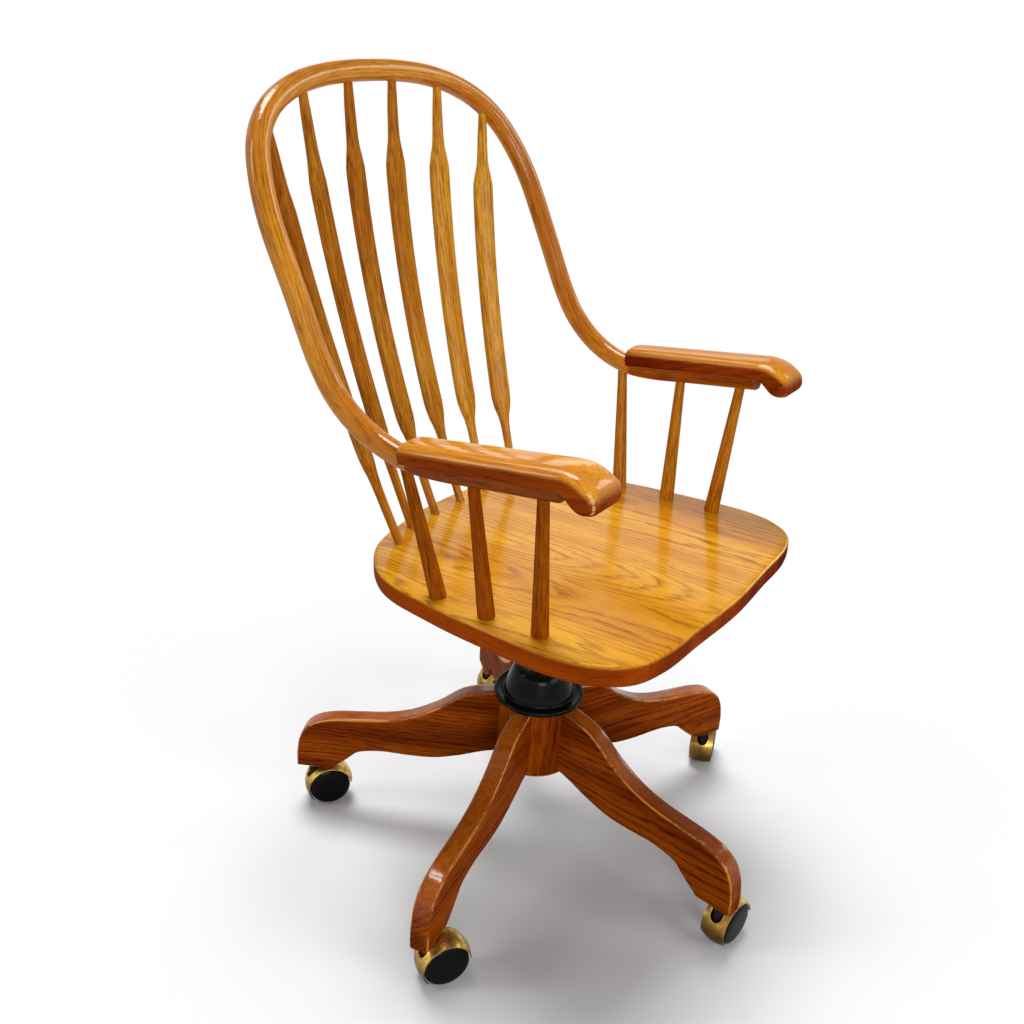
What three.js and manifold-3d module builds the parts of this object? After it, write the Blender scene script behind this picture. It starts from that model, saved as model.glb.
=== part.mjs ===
// Bankers swivel chair in oak: one bent bow is the top rail and both arms, on a five-star base with casters.
// Millimetres, +Z up. The chair faces -Y, and the sitter's left arm is at +X.
import * as THREE from 'three';
import { mergeVertices } from 'three/addons/utils/BufferGeometryUtils.js';
import Module from 'manifold-3d';

const wasm = await Module();
wasm.setup();

// Fits and facets
const gap = 0.3; // between pieces that touch
const runningGap = 0.4; // round a piece that turns in another
const overrun = 3; // how far a cutter runs past a face
const stickSides = 12;
const socketSides = 12;
const hoopSteps = 66;
const roundSides = 24;
const wheelSides = 18;
const bevelRings = 2;

// Heights of the base's hub
const hubTop = 229;
const hubBottom = 125;

// Seat plank. Its top passes seatHeight on the swivel axis and rises towards the front.
const seatRise = 236; // from the hub's top
const seatHeight = hubTop + seatRise;
const seatPitch = THREE.MathUtils.degToRad(2.3);
const seatHalfWidth = 247;
const seatDepth = 455;
const seatFront = 262;
const seatThickness = 29;
const seatEdgeDrop = 11;
const seatEdgeRound = 9;
const seatOutlinePoints = 60;
// Right half of the outline: across from the middle, and back from the front edge
const seatOutlineShares = [
  [0, 0], [0.36, 0.01], [0.66, 0.02], [0.83, 0.05], [0.94, 0.12], [0.992, 0.22],
  [0.98, 0.44], [0.942, 0.62], [0.855, 0.81], [0.626, 0.935], [0.31, 0.985], [0, 1],
];

// Bow: a round bar that runs forward as the arms, turns up at the elbows and closes over the back
const bowRadius = 13.2;
const bowSquareness = 2.2;
const armHalfSpan = 239.5;
const armRise = 172; // from the seat's top to the centre line, beside the swivel axis
const armHeight = seatHeight + armRise;
const armPitch = THREE.MathUtils.degToRad(7.9);
const armBowFront = 152;
const bowHalfSpan = 249.5;
const backRise = 538; // from the seat's top to the top of the centre line
const bowHeight = seatHeight + backRise;
const backRake = THREE.MathUtils.degToRad(27.8);
const elbowReach = 111;
const elbowRadius = 155;
const elbowPoints = 5;
const armStationShares = [0, 0.33, 0.66];
const backHollow = 3.6;
// Right half of the top arch: across, up the raked plane from the elbow to the crown, and forward of the plane
const bowArchShares = [
  [1, 0.45, 0.6], [0.997, 0.627, 1], [0.964, 0.731, 1], [0.893, 0.828, 0.72], [0.768, 0.904, 0.36],
  [0.595, 0.955, 0], [0.398, 0.984, -0.3], [0.192, 0.997, -0.3], [0, 1, -0.2],
];

// Arm caps: let down over the bow, wider towards the front, with a dropped nose
const capRear = 39.5;
const capLength = 245;
const capBottom = 6.2;
const capTop = 31;
const capNoseDrop = 14.5;
const capOuterReach = 29;
const capRearWidth = 47;
const capFrontWidth = 61;
const capEdgeRound = 8;
const capCurvePoints = 5;
// Curves of the nose: back from its front, and up by the cap's top or down by its drop
const capNoseShares = {
  start: [0.19, 1],
  top: [[0.08, 1], [0, 0.48], [0, -0.1]],
  tip: [[0, -1], [0.06, -1]],
  under: [[0.13, -1], [0.14, 0], [0.205, 0]],
};

// Sticks
const spindleEndDiameter = 11;
const spindleNeckDiameter = 14;
const spindleWidth = 28;
const spindleThickness = 13.5;
const spindleBend = 29;
const paddleSquareness = 4;
const postFootDiameter = 20;
const postTopDiameter = 13;
const stickSeatDepth = 18;
const stickBowStop = 2.5;
const tangentShare = 0.01;
// The outermost spindle's flat is turned this far from square, to follow the curve of the back
const spindleSplay = THREE.MathUtils.degToRad(25);
// From the middle outwards: across the bow, across the seat, back along the seat, bend, and turn of the flat
const spindlePlaceShares = [
  [0.163, 0.113, 0.944, 1, 0.16], [0.499, 0.328, 0.938, 0.72, 0.64], [0.807, 0.523, 0.895, 0.6, 1],
];
// From the back forwards: back along the arm cap, across the seat, back along the seat
const postPlaceShares = [[1.04, 0.853, 0.618], [0.669, 0.877, 0.458], [0.311, 0.869, 0.304]];
// Up the spindle: height, neck, paddle and squareness
const spindleStationShares = [
  [0, 0, 0, 0], [0.1, 0.1, 0, 0], [0.16, 0.5, 0, 0.1], [0.22, 1, 0.85, 0.8], [0.26, 1, 1, 1],
  [0.4, 1, 0.98, 1], [0.56, 1, 0.96, 1], [0.7, 1, 1, 1], [0.77, 1, 1, 1], [0.81, 1, 0.75, 0.7],
  [0.86, 1, 0.1, 0.1], [0.92, 0.7, 0, 0], [0.97, 0, 0, 0],
];

// Base: hub and five legs
const legCount = 5;
const firstLegAngle = THREE.MathUtils.degToRad(118.8);
const hubRadius = 54;
const hubEdge = 5;
const legReach = 340;
const legFootHeight = 66.7;
const legThickness = 26;
const legEdgeRound = 3;
const tenonLength = 20;
const tenonThickness = 13;
const tenonTopDrop = 16;
const tenonBottomRise = 22;
// Leg outline: out from the hub to the tip, and up from the foot to the root
const legTopShares = [
  [0.065, 0.984], [0.174, 0.928], [0.3, 0.766], [0.428, 0.645], [0.554, 0.585], [0.681, 0.56],
  [0.808, 0.535], [0.89, 0.495], [0.95, 0.42], [0.985, 0.3], [1, 0.15],
];
const legFootInnerShare = 0.825;
const legBottomShares = [
  [0.8, 0.04], [0.765, 0.09], [0.73, 0.145], [0.693, 0.203], [0.63, 0.233], [0.554, 0.246], [0.428, 0.238],
  [0.3, 0.247], [0.174, 0.302], [0.065, 0.37],
];
const legRootBottomShare = 0.4;

// Casters: hood with stem, two wheels on one axle
const stemInset = 20.5; // from the leg's tip
const stemPlace = legReach - stemInset;
const casterTrail = 22.4;
// Way that each caster trails, as a share of a half turn from +X
const casterAngleShares = [-0.209, -0.173, -0.049, 0.105, -0.067];
const wheelRadius = 29;
const wheelRimPlane = 15.8;
const wheelRimWidth = 3;
const wheelDome = 3.2;
const wheelDomeShares = [0.88, 0.6]; // shoulder of the dome, out and up
const wheelHubRadius = 7;
const wheelTreadDrop = 2;
const hoodRadius = 34.4;
const hoodWall = 1.8;
const hoodOverhang = 1.2; // past the plane of the wheels' rims
const hoodCrownShare = 0.09;
const hoodCrownSteps = 4;
const hoodWebThickness = 12;
const hoodWebShare = 0.75; // of the wall, from outside down to the web's top
const hoodRearAngle = THREE.MathUtils.degToRad(8);
const hoodFrontAngle = THREE.MathUtils.degToRad(218);
const hoodArcPoints = 14;
const webArcPoints = 9;
const notchRadius = 8.2;
const notchFloor = 42;
const stemRadius = 3.9;
const stemBossRadius = 5.6;
const stemTopDrop = 4;
const axleRadius = 3;
const socketWall = 1.4;
const socketDepth = 38;
const socketFlangeRadius = 9;
const socketFlangeThickness = 1.6;

// Column: sleeve in the hub, with the cover over it
const tubeRadius = 22;
const tubeFlangeRadius = 38;
const tubeFlangeThickness = 3;
const tubeTop = 243;
const nutRadius = 21;
const nutHeight = 17;
const spindleRadius = 12.5;
const coverFlangeRadius = 61.4;
const coverFlangeThickness = 7;
const coverBaseRadius = 47;
const coverTopRadius = 37.5;
const coverTop = 274;
const coverWall = 2.5;
const coverEdge = 2.6;

// Tilt mechanism, hung below the seat
const tiltAxleDrop = 58; // from the seat's top
const tiltAxleHeight = seatHeight - tiltAxleDrop;
const tiltAxleRise = 17; // from the yoke's bed
const yokeTop = tiltAxleHeight - tiltAxleRise;
const yokeBossRadius = 19;
const yokeBossLength = 58;
const yokeBossBottom = yokeTop - yokeBossLength;
const liftSpindleInset = 7; // from the hub's underside
const liftSpindleBottom = hubBottom + liftSpindleInset;
const liftSpindleHeadCover = 18; // of iron over its top
const liftSpindleTop = yokeTop - liftSpindleHeadCover;
const yokeBedThickness = 12;
const yokeHalfWidth = 38;
const yokeRear = 34;
const yokeFront = 96;
const yokeCheekThickness = 9;
const yokeCheekHalfLength = 15;
const tiltAxleSetback = -18;
const tiltAxleRadius = 6;
const tiltAxleHeadRadius = 9;
const tiltAxleHeadThickness = 3;
const cheekRound = 14;
const springWire = 3.4;
const springTurns = 6;
const springStepsPerTurn = 9;
const springWireSides = 5;
const knobRadius = 21;
const knobHeight = 20;
const knobTopDrop = 10;
const screwRadius = 4;
const screwSetback = 16;
const screwTopRise = 6;
const plateThickness = 3;
const plateHalfWidth = 92;
const plateFrontShare = 0.26; // of the seat's depth
const plateRearShare = 0.21;
const plateFront = seatDepth * plateFrontShare;
const plateRear = seatDepth * plateRearShare;
const earThickness = 4;
const earHalfLength = 16;
const seatScrewInset = 14;
const seatScrewRadius = 2.4;
const seatScrewHeadRadius = 5;
const seatScrewHeadHeight = 2.6;
const seatScrewDepth = 17;

// Materials
const oakColor = 0xb06a1c;
const seatOakColor = 0xd08f38;
const baseOakColor = 0x7a3512;
const brassColor = 0xb8913f;
const blackColor = 0x101012;
const steelColor = 0x8d9094;
const ironColor = 0x2b2c2e;

function material(color, roughness, metalness) {
  return new THREE.MeshStandardMaterial({ color, roughness, metalness });
}

const oak = () => material(oakColor, 0.35, 0);
const seatOak = () => material(seatOakColor, 0.4, 0);
const baseOak = () => material(baseOakColor, 0.45, 0);
const brass = () => material(brassColor, 0.25, 1);
const blackPlastic = () => material(blackColor, 0.2, 0);
const steel = () => material(steelColor, 0.35, 1);
const castIron = () => material(ironColor, 0.6, 0.6);

function namedMesh(name, geometry, surface) {
  const mesh = new THREE.Mesh(geometry, surface);
  mesh.name = name;
  return mesh;
}

// Solids for joining and cutting
function toSolid(geometry) {
  const bare = geometry.clone();
  bare.deleteAttribute('normal');
  bare.deleteAttribute('uv');
  const merged = mergeVertices(bare);
  return new wasm.Manifold(new wasm.Mesh({
    numProp: 3,
    vertProperties: merged.attributes.position.array,
    triVerts: Uint32Array.from(merged.index.array),
  }));
}

function toGeometry(solid) {
  const result = solid.getMesh();
  const geometry = new THREE.BufferGeometry();
  geometry.setAttribute('position', new THREE.BufferAttribute(Float32Array.from(result.vertProperties), 3));
  geometry.setIndex(new THREE.BufferAttribute(Uint32Array.from(result.triVerts), 1));
  geometry.computeVertexNormals();
  return geometry;
}

function cut(geometry, cutters) {
  return toGeometry(cutters.reduce((solid, cutter) => solid.subtract(toSolid(cutter)), toSolid(geometry)));
}

function join(geometry, others) {
  return toGeometry(others.reduce((solid, other) => solid.add(toSolid(other)), toSolid(geometry)));
}

// Closed lathe body about Z from [radius, height] points of its wall
function turned(profile, sides) {
  const points = profile.map(([radius, height]) => new THREE.Vector2(radius, height));
  const closed = points[0].x === 0 && points[points.length - 1].x === 0;
  if (!closed) {
    points.push(points[0].clone());
  }
  return new THREE.LatheGeometry(points, sides).rotateX(Math.PI / 2);
}

// Cylinder between two places
function rod(from, to, radius, sides) {
  const axis = to.clone().sub(from);
  const geometry = new THREE.CylinderGeometry(radius, radius, axis.length(), sides);
  const turn = new THREE.Quaternion().setFromUnitVectors(new THREE.Vector3(0, 1, 0), axis.clone().normalize());
  geometry.applyQuaternion(turn);
  const middle = from.clone().lerp(to, 0.5);
  return geometry.translate(middle.x, middle.y, middle.z);
}

// Cutter for a hole that clears a radius with its flats
function drill(from, to, radius, sides) {
  return rod(from, to, radius / Math.cos(Math.PI / sides), sides);
}

function block(low, high) {
  const size = high.clone().sub(low);
  const middle = low.clone().lerp(high, 0.5);
  return new THREE.BoxGeometry(size.x, size.y, size.z).translate(middle.x, middle.y, middle.z);
}

const vector = (x, y, z) => new THREE.Vector3(x, y, z);

// Height of the seat's top at a place front to back
const seatTopAt = (y) => seatHeight - Math.tan(seatPitch) * y;

// Centre line of the bow
const backUp = vector(0, Math.sin(backRake), Math.cos(backRake));
const armBack = vector(0, Math.cos(armPitch), -Math.sin(armPitch));
const elbowCorner = vector(0, elbowReach, armHeight - Math.tan(armPitch) * elbowReach);
const elbowTurn = Math.PI / 2 + armPitch - backRake;
const elbowTangent = elbowRadius * Math.tan(elbowTurn / 2);
const hoopRise = (bowHeight - elbowCorner.z) / backUp.z;

function armPoint(y) {
  return vector(armHalfSpan, y, armHeight - Math.tan(armPitch) * y);
}

function elbowPoint(share) {
  const start = elbowCorner.clone().addScaledVector(armBack, -elbowTangent);
  const up = vector(0, -armBack.z, armBack.y);
  const angle = elbowTurn * share;
  const point = start.addScaledVector(armBack, elbowRadius * Math.sin(angle));
  point.addScaledVector(up, elbowRadius * (1 - Math.cos(angle)));
  point.x = THREE.MathUtils.lerp(armHalfSpan, bowHalfSpan, THREE.MathUtils.smoothstep(share, 0, 1));
  return point;
}

function halfBowPoints() {
  const arcStart = elbowCorner.y - elbowTangent * armBack.y;
  const points = armStationShares.map((share) => (
    armPoint(THREE.MathUtils.lerp(-armBowFront, arcStart, share))
  ));
  for (let i = 0; i <= elbowPoints; i += 1) {
    points.push(elbowPoint(i / elbowPoints));
  }
  for (const [across, up, forward] of bowArchShares) {
    const point = elbowCorner.clone().addScaledVector(backUp, hoopRise * up);
    point.x = bowHalfSpan * across;
    point.y -= backHollow * forward;
    points.push(point);
  }
  return points;
}

function bowPath() {
  const right = halfBowPoints();
  const left = right.slice(0, -1).reverse().map((point) => vector(-point.x, point.y, point.z));
  return new THREE.CatmullRomCurve3([...right, ...left], false, 'centripetal');
}

// Place on the arch that lies a given way across
function archPointAt(across) {
  const points = halfBowPoints();
  const next = points.findIndex((point, i) => i > points.length / 2 && point.x <= across);
  const from = points[next - 1];
  const to = points[next];
  return from.clone().lerp(to, (from.x - across) / (from.x - to.x));
}

// A bent stick from seat to bow: rings of its own width and thickness along a curve. Its wide side is turned
// about the upright from straight across.
function sweptStick(pathPoint, stations, sides, turn) {
  const rings = stations.length - 1;
  const geometry = new THREE.CylinderGeometry(1, 1, 1, sides, rings);
  const position = geometry.attributes.position;
  const wide = vector(Math.cos(turn), -Math.sin(turn), 0);
  for (let i = 0; i < position.count; i += 1) {
    const station = stations[Math.round((position.getY(i) + 0.5) * rings)];
    const centre = pathPoint(station.along);
    const ahead = pathPoint(station.along + tangentShare);
    const tangent = ahead.sub(pathPoint(station.along - tangentShare)).normalize();
    const across = wide.clone().addScaledVector(tangent, -wide.dot(tangent)).normalize();
    const thick = across.clone().cross(tangent);
    const x = position.getX(i);
    const z = position.getZ(i);
    const size = (Math.abs(x) ** station.square + Math.abs(z) ** station.square) ** (1 / station.square);
    const square = size > 0 ? 1 / size : 0;
    centre.addScaledVector(across, x * square * station.halfWidth);
    centre.addScaledVector(thick, z * square * station.halfThickness);
    position.setXYZ(i, centre.x, centre.y, centre.z);
  }
  geometry.computeVertexNormals();
  return geometry;
}

// Centre line from a foot on the seat to the bow's centre line. Past either end it runs straight on.
function stickPath(foot, top, bend) {
  const chord = top.clone().sub(foot);
  return (along) => {
    const inside = THREE.MathUtils.clamp(along, 0, 1);
    const slope = along === inside ? 0 : 4 * bend * (1 - 2 * inside) * (along - inside);
    const point = foot.clone().addScaledVector(chord, along);
    point.y += 4 * bend * inside * (1 - inside) + slope;
    return point;
  };
}

function stickSockets(stick) {
  const length = stick.top.distanceTo(stick.foot);
  const place = (distance) => stick.path(distance / length);
  const bowOuter = length - 2 * bowRadius;
  const bowInner = length - stickBowStop + gap;
  return {
    seat: drill(place(-stickSeatDepth - gap), place(overrun * 2), stick.footRadius + gap, socketSides),
    bow: drill(place(bowOuter), place(bowInner), stick.topRadius + gap, socketSides),
  };
}

function spindleStick(number, side) {
  const [bowShare, acrossShare, backShare, bendShare, turnShare] = spindlePlaceShares[number];
  const foot = vector(seatHalfWidth * acrossShare, seatDepth * backShare - seatFront, 0);
  foot.z = seatTopAt(foot.y);
  const top = archPointAt(bowHalfSpan * bowShare);
  foot.x *= side;
  top.x *= side;
  const radius = spindleEndDiameter / 2;
  const path = stickPath(foot, top, spindleBend * bendShare);
  return { foot, top, path, turn: side * spindleSplay * turnShare, footRadius: radius, topRadius: radius };
}

function postStick(number, side) {
  const [capShare, acrossShare, backShare] = postPlaceShares[number];
  const foot = vector(seatHalfWidth * acrossShare, seatDepth * backShare - seatFront, 0);
  foot.z = seatTopAt(foot.y);
  const top = armPoint(capRear - capLength * (1 - capShare));
  foot.x *= side;
  top.x *= side;
  const path = stickPath(foot, top, 0);
  return { foot, top, path, footRadius: postFootDiameter / 2, topRadius: postTopDiameter / 2 };
}

function spindleGeometry(stick) {
  const length = stick.top.distanceTo(stick.foot);
  const end = spindleEndDiameter / 2;
  const neckGain = (spindleNeckDiameter - spindleEndDiameter) / 2;
  const ring = (along, neck, paddle, square) => ({
    along,
    halfWidth: end + neckGain * neck + (spindleWidth - spindleNeckDiameter) / 2 * paddle,
    halfThickness: end + neckGain * neck + (spindleThickness - spindleNeckDiameter) / 2 * paddle,
    square: THREE.MathUtils.lerp(2, paddleSquareness, square),
  });
  const stations = spindleStationShares.map((shares) => ring(...shares));
  stations.unshift(ring(-stickSeatDepth / length, 0, 0, 0));
  stations.push(ring(1 - stickBowStop / length, 0, 0, 0));
  return sweptStick(stick.path, stations, stickSides, stick.turn);
}

function postGeometry(stick) {
  const length = stick.top.distanceTo(stick.foot);
  const ring = (along, radius) => ({ along, halfWidth: radius, halfThickness: radius, square: 2 });
  return sweptStick(stick.path, [
    ring(-stickSeatDepth / length, stick.footRadius),
    ring(overrun / length, stick.footRadius),
    ring(1 - (bowRadius + overrun) / length, stick.topRadius),
    ring(1 - stickBowStop / length, stick.topRadius),
  ], stickSides, 0);
}

// Seat, in its own frame: top face at zero, centre over the swivel axis
function seatOutline() {
  const right = seatOutlineShares.map(([across, back]) => (
    vector(seatHalfWidth * across, seatDepth * back - seatFront, 0)
  ));
  const left = right.slice(1, -1).reverse().map((point) => vector(-point.x, point.y, 0));
  const outline = new THREE.CatmullRomCurve3([...right, ...left], true, 'centripetal');
  const points = outline.getPoints(seatOutlinePoints).slice(0, -1);
  return new THREE.Shape(points.map(({ x, y }) => new THREE.Vector2(x, y)));
}

const seatPlacing = new THREE.Matrix4().makeRotationX(-seatPitch).setPosition(0, 0, seatHeight);

function seatScrewPlaces() {
  const places = [];
  for (const side of [-1, 1]) {
    places.push(vector(side * (plateHalfWidth - seatScrewInset), seatScrewInset - plateFront, -seatThickness));
    places.push(vector(side * (plateHalfWidth - seatScrewInset), plateRear - seatScrewInset, -seatThickness));
  }
  return places;
}

function seatGeometry(sticks) {
  const plank = new THREE.ExtrudeGeometry(seatOutline(), {
    depth: seatThickness - 2 * seatEdgeDrop,
    bevelThickness: seatEdgeDrop,
    bevelSize: seatEdgeRound,
    bevelOffset: -seatEdgeRound,
    bevelSegments: bevelRings,
  }).translate(0, 0, seatEdgeDrop - seatThickness);
  const pilots = seatScrewPlaces().map((place) => drill(
    place.clone().add(vector(0, 0, -overrun)),
    place.clone().add(vector(0, 0, seatScrewDepth + gap)),
    seatScrewRadius + gap,
    stickSides,
  ).applyMatrix4(seatPlacing));
  return cut(plank.applyMatrix4(seatPlacing), [...sticks.map((stick) => stickSockets(stick).seat), ...pilots]);
}

// Frame of one arm: origin on the bow's centre line beside the swivel axis, -Y forward along the arm
function armPlacing(side) {
  return new THREE.Matrix4().makeRotationX(-armPitch).setPosition(side * armHalfSpan, 0, armHeight);
}

function bowGeometry(sticks) {
  const section = new THREE.Shape();
  const corners = [];
  for (let i = 0; i < stickSides; i += 1) {
    const angle = 2 * Math.PI * (i + 0.5) / stickSides;
    const x = Math.cos(angle);
    const y = Math.sin(angle);
    const size = (Math.abs(x) ** bowSquareness + Math.abs(y) ** bowSquareness) ** (1 / bowSquareness);
    corners.push(new THREE.Vector2(x, y).multiplyScalar(bowRadius / size));
  }
  section.setFromPoints(corners);
  const bar = new THREE.ExtrudeGeometry(section, { extrudePath: bowPath(), steps: hoopSteps });
  const flats = [-1, 1].map((side) => block(
    vector(-capFrontWidth, -armBowFront - bowRadius - overrun, capBottom - gap),
    vector(capFrontWidth, capRear + gap, capTop),
  ).applyMatrix4(armPlacing(side)));
  return cut(bar, [...flats, ...sticks.map((stick) => stickSockets(stick).bow)]);
}

function capPoint([back, up]) {
  const rise = up < 0 ? capNoseDrop : capTop;
  return [capRear - capLength * (1 - back), rise * up];
}

function capProfile() {
  const shape = new THREE.Shape();
  shape.moveTo(capRear, capBottom);
  shape.lineTo(capRear, capTop);
  shape.lineTo(...capPoint(capNoseShares.start));
  shape.bezierCurveTo(...capNoseShares.top.flatMap(capPoint));
  shape.quadraticCurveTo(...capNoseShares.tip.flatMap(capPoint));
  const [low, high, end] = capNoseShares.under.map(capPoint);
  shape.bezierCurveTo(...low, high[0], capBottom, end[0], capBottom);
  return shape;
}

function capGeometry(side) {
  const geometry = new THREE.ExtrudeGeometry(capProfile(), {
    depth: capRearWidth - 2 * capEdgeRound,
    bevelThickness: capEdgeRound,
    bevelSize: capEdgeRound,
    bevelOffset: -capEdgeRound,
    bevelSegments: bevelRings,
    curveSegments: capCurvePoints,
  }).translate(0, 0, capEdgeRound - capRearWidth / 2);
  // Shape x is front to back and shape y is up; the width is widened towards the nose, from the outer side
  const position = geometry.attributes.position;
  for (let i = 0; i < position.count; i += 1) {
    const y = position.getX(i);
    const forward = (capRear - y) / capLength;
    const width = THREE.MathUtils.lerp(capRearWidth, capFrontWidth, forward);
    const across = position.getZ(i) / capRearWidth * width + capOuterReach - width / 2;
    position.setXYZ(i, side * across, y, position.getY(i));
  }
  if (side < 0) {
    flipFaces(geometry);
  }
  geometry.computeVertexNormals();
  return geometry.applyMatrix4(armPlacing(side));
}

function flipFaces(geometry) {
  const position = geometry.attributes.position;
  for (let i = 0; i < position.count; i += 3) {
    const first = vector(0, 0, 0).fromBufferAttribute(position, i);
    const second = vector(0, 0, 0).fromBufferAttribute(position, i + 1);
    position.setXYZ(i, second.x, second.y, second.z);
    position.setXYZ(i + 1, first.x, first.y, first.z);
  }
}

// Leg, in its own frame: +X out from the swivel axis
function legPoint([out, up]) {
  return new THREE.Vector2(
    THREE.MathUtils.lerp(hubRadius, legReach, out),
    THREE.MathUtils.lerp(legFootHeight, hubTop, up),
  );
}

function legShape() {
  const rootReach = hubRadius - tenonLength / 2;
  const shape = new THREE.Shape();
  const rootTop = legPoint([0, 1]);
  shape.moveTo(rootReach, rootTop.y);
  shape.lineTo(rootTop.x, rootTop.y);
  legTopShares.map(legPoint).forEach((point) => shape.lineTo(point.x, point.y));
  shape.lineTo(legReach, legFootHeight);
  const footInner = legPoint([legFootInnerShare, 0]);
  shape.lineTo(footInner.x, footInner.y);
  legBottomShares.map(legPoint).forEach((point) => shape.lineTo(point.x, point.y));
  const rootBottom = legPoint([0, legRootBottomShare]);
  shape.lineTo(rootBottom.x, rootBottom.y);
  shape.lineTo(rootReach, rootBottom.y);
  return shape;
}

function tenonBlock(clearance) {
  const rootBottom = legPoint([0, legRootBottomShare]).y;
  const half = tenonThickness / 2 + clearance;
  return block(
    vector(hubRadius - tenonLength - clearance, -half, rootBottom + tenonBottomRise - clearance),
    vector(hubRadius + overrun, half, hubTop - tenonTopDrop + clearance),
  );
}

function legGeometry() {
  const slab = new THREE.ExtrudeGeometry(legShape(), {
    depth: legThickness - 2 * legEdgeRound,
    bevelThickness: legEdgeRound,
    bevelSize: legEdgeRound,
    bevelOffset: -legEdgeRound,
    bevelSegments: 1,
  }).translate(0, 0, legEdgeRound - legThickness / 2).rotateX(Math.PI / 2);
  const hubSpace = drill(vector(0, 0, 0), vector(0, 0, hubTop + overrun), hubRadius + gap, roundSides * 2);
  const bore = drill(
    vector(stemPlace, 0, legFootHeight - overrun),
    vector(stemPlace, 0, legFootHeight + socketDepth + gap),
    stemRadius + runningGap + socketWall + gap,
    socketSides,
  );
  return join(cut(slab, [hubSpace, bore]), [tenonBlock(0)]);
}

function hubGeometry() {
  const body = turned([
    [0, hubBottom],
    [hubRadius - hubEdge, hubBottom],
    [hubRadius, hubBottom + hubEdge],
    [hubRadius, hubTop],
    [0, hubTop],
  ], roundSides * 1.5);
  const below = vector(0, 0, hubBottom - overrun);
  const above = vector(0, 0, hubTop + overrun);
  const bore = drill(below, above, tubeRadius + gap, roundSides);
  const mortises = legAngles().map((angle) => tenonBlock(gap).rotateZ(angle));
  return cut(body, [bore, ...mortises]);
}

function legAngles() {
  return Array.from({ length: legCount }, (_, i) => firstLegAngle + 2 * Math.PI * i / legCount);
}

// Column and cover, on the swivel axis
function tubeGeometry() {
  const flangeTop = hubBottom - gap;
  const flangeBottom = flangeTop - tubeFlangeThickness;
  const inner = spindleRadius + runningGap;
  return turned([
    [inner, flangeBottom],
    [tubeFlangeRadius, flangeBottom],
    [tubeFlangeRadius, flangeTop],
    [tubeRadius, flangeTop],
    [tubeRadius, tubeTop],
    [inner, tubeTop],
  ], roundSides);
}

const nutBottom = tubeTop + gap;

function nutGeometry() {
  const bore = spindleRadius + gap;
  return turned([
    [bore, nutBottom],
    [nutRadius, nutBottom],
    [nutRadius, nutBottom + nutHeight],
    [bore, nutBottom + nutHeight],
  ], roundSides);
}

function coverGeometry() {
  const bottom = hubTop + gap;
  const rimTop = bottom + coverFlangeThickness;
  const hole = spindleRadius + runningGap * 3;
  return turned([
    [coverBaseRadius - coverWall, bottom],
    [coverFlangeRadius - coverEdge, bottom],
    [coverFlangeRadius, bottom + coverEdge],
    [coverFlangeRadius - coverEdge / 2, rimTop - coverEdge / 2],
    [coverFlangeRadius - coverEdge * 2, rimTop],
    [coverBaseRadius + coverEdge, rimTop - coverEdge / 2],
    [coverBaseRadius, rimTop + coverEdge],
    [coverTopRadius + coverEdge / 2, coverTop - coverEdge],
    [coverTopRadius - coverEdge / 2, coverTop],
    [hole, coverTop],
    [hole, coverTop - coverWall],
    [coverTopRadius - coverWall, coverTop - coverWall],
  ], roundSides * 1.5);
}

function liftSpindleGeometry() {
  return rod(vector(0, 0, liftSpindleBottom), vector(0, 0, liftSpindleTop), spindleRadius, roundSides);
}

// Tilt mechanism
const bedTop = yokeTop;
const bedBottom = yokeTop - yokeBedThickness;
const cheekOuter = yokeHalfWidth;
const cheekInner = yokeHalfWidth - yokeCheekThickness;

// Lug with a round top about the tilt axle, between two planes across
function axleLug(low, high, base, halfLength, round) {
  const hangs = base > tiltAxleHeight;
  const shape = new THREE.Shape();
  shape.moveTo(tiltAxleSetback - halfLength, base);
  shape.lineTo(tiltAxleSetback + halfLength, base);
  shape.lineTo(tiltAxleSetback + round, tiltAxleHeight);
  shape.absarc(tiltAxleSetback, tiltAxleHeight, round, 0, hangs ? -Math.PI : Math.PI, hangs);
  shape.closePath();
  const geometry = new THREE.ExtrudeGeometry(shape, {
    depth: high - low,
    bevelEnabled: false,
    curveSegments: stickSides,
  });
  return geometry.rotateX(Math.PI / 2).rotateZ(Math.PI / 2).translate(low, 0, 0);
}

function tiltShaft(halfLength) {
  return rod(
    vector(-halfLength, tiltAxleSetback, tiltAxleHeight),
    vector(halfLength, tiltAxleSetback, tiltAxleHeight),
    tiltAxleRadius,
    socketSides,
  );
}

function tiltBore(halfLength) {
  return drill(
    vector(-halfLength, tiltAxleSetback, tiltAxleHeight),
    vector(halfLength, tiltAxleSetback, tiltAxleHeight),
    tiltAxleRadius + gap,
    socketSides,
  );
}

function screwAxis(low, high, radius, sides) {
  const y = screwSetback - yokeFront;
  return rod(vector(0, y, low), vector(0, y, high), radius, sides);
}

function yokeGeometry() {
  const boss = rod(vector(0, 0, yokeBossBottom), vector(0, 0, bedTop - gap), yokeBossRadius, roundSides);
  const bed = block(vector(-yokeHalfWidth, -yokeFront, bedBottom), vector(yokeHalfWidth, yokeRear, bedTop));
  const cheekBase = bedTop - gap;
  const cheeks = [
    axleLug(-cheekOuter, -cheekInner, cheekBase, yokeCheekHalfLength, cheekRound),
    axleLug(cheekInner, cheekOuter, cheekBase, yokeCheekHalfLength, cheekRound),
  ];
  const mouth = vector(0, 0, yokeBossBottom - overrun);
  const socket = drill(mouth, vector(0, 0, liftSpindleTop + gap), spindleRadius + gap, roundSides);
  const screwHole = screwAxis(bedBottom - overrun, bedTop + overrun, screwRadius + gap, socketSides);
  return cut(join(bed, [boss, ...cheeks]), [socket, screwHole, tiltBore(yokeHalfWidth + overrun)]);
}

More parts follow.
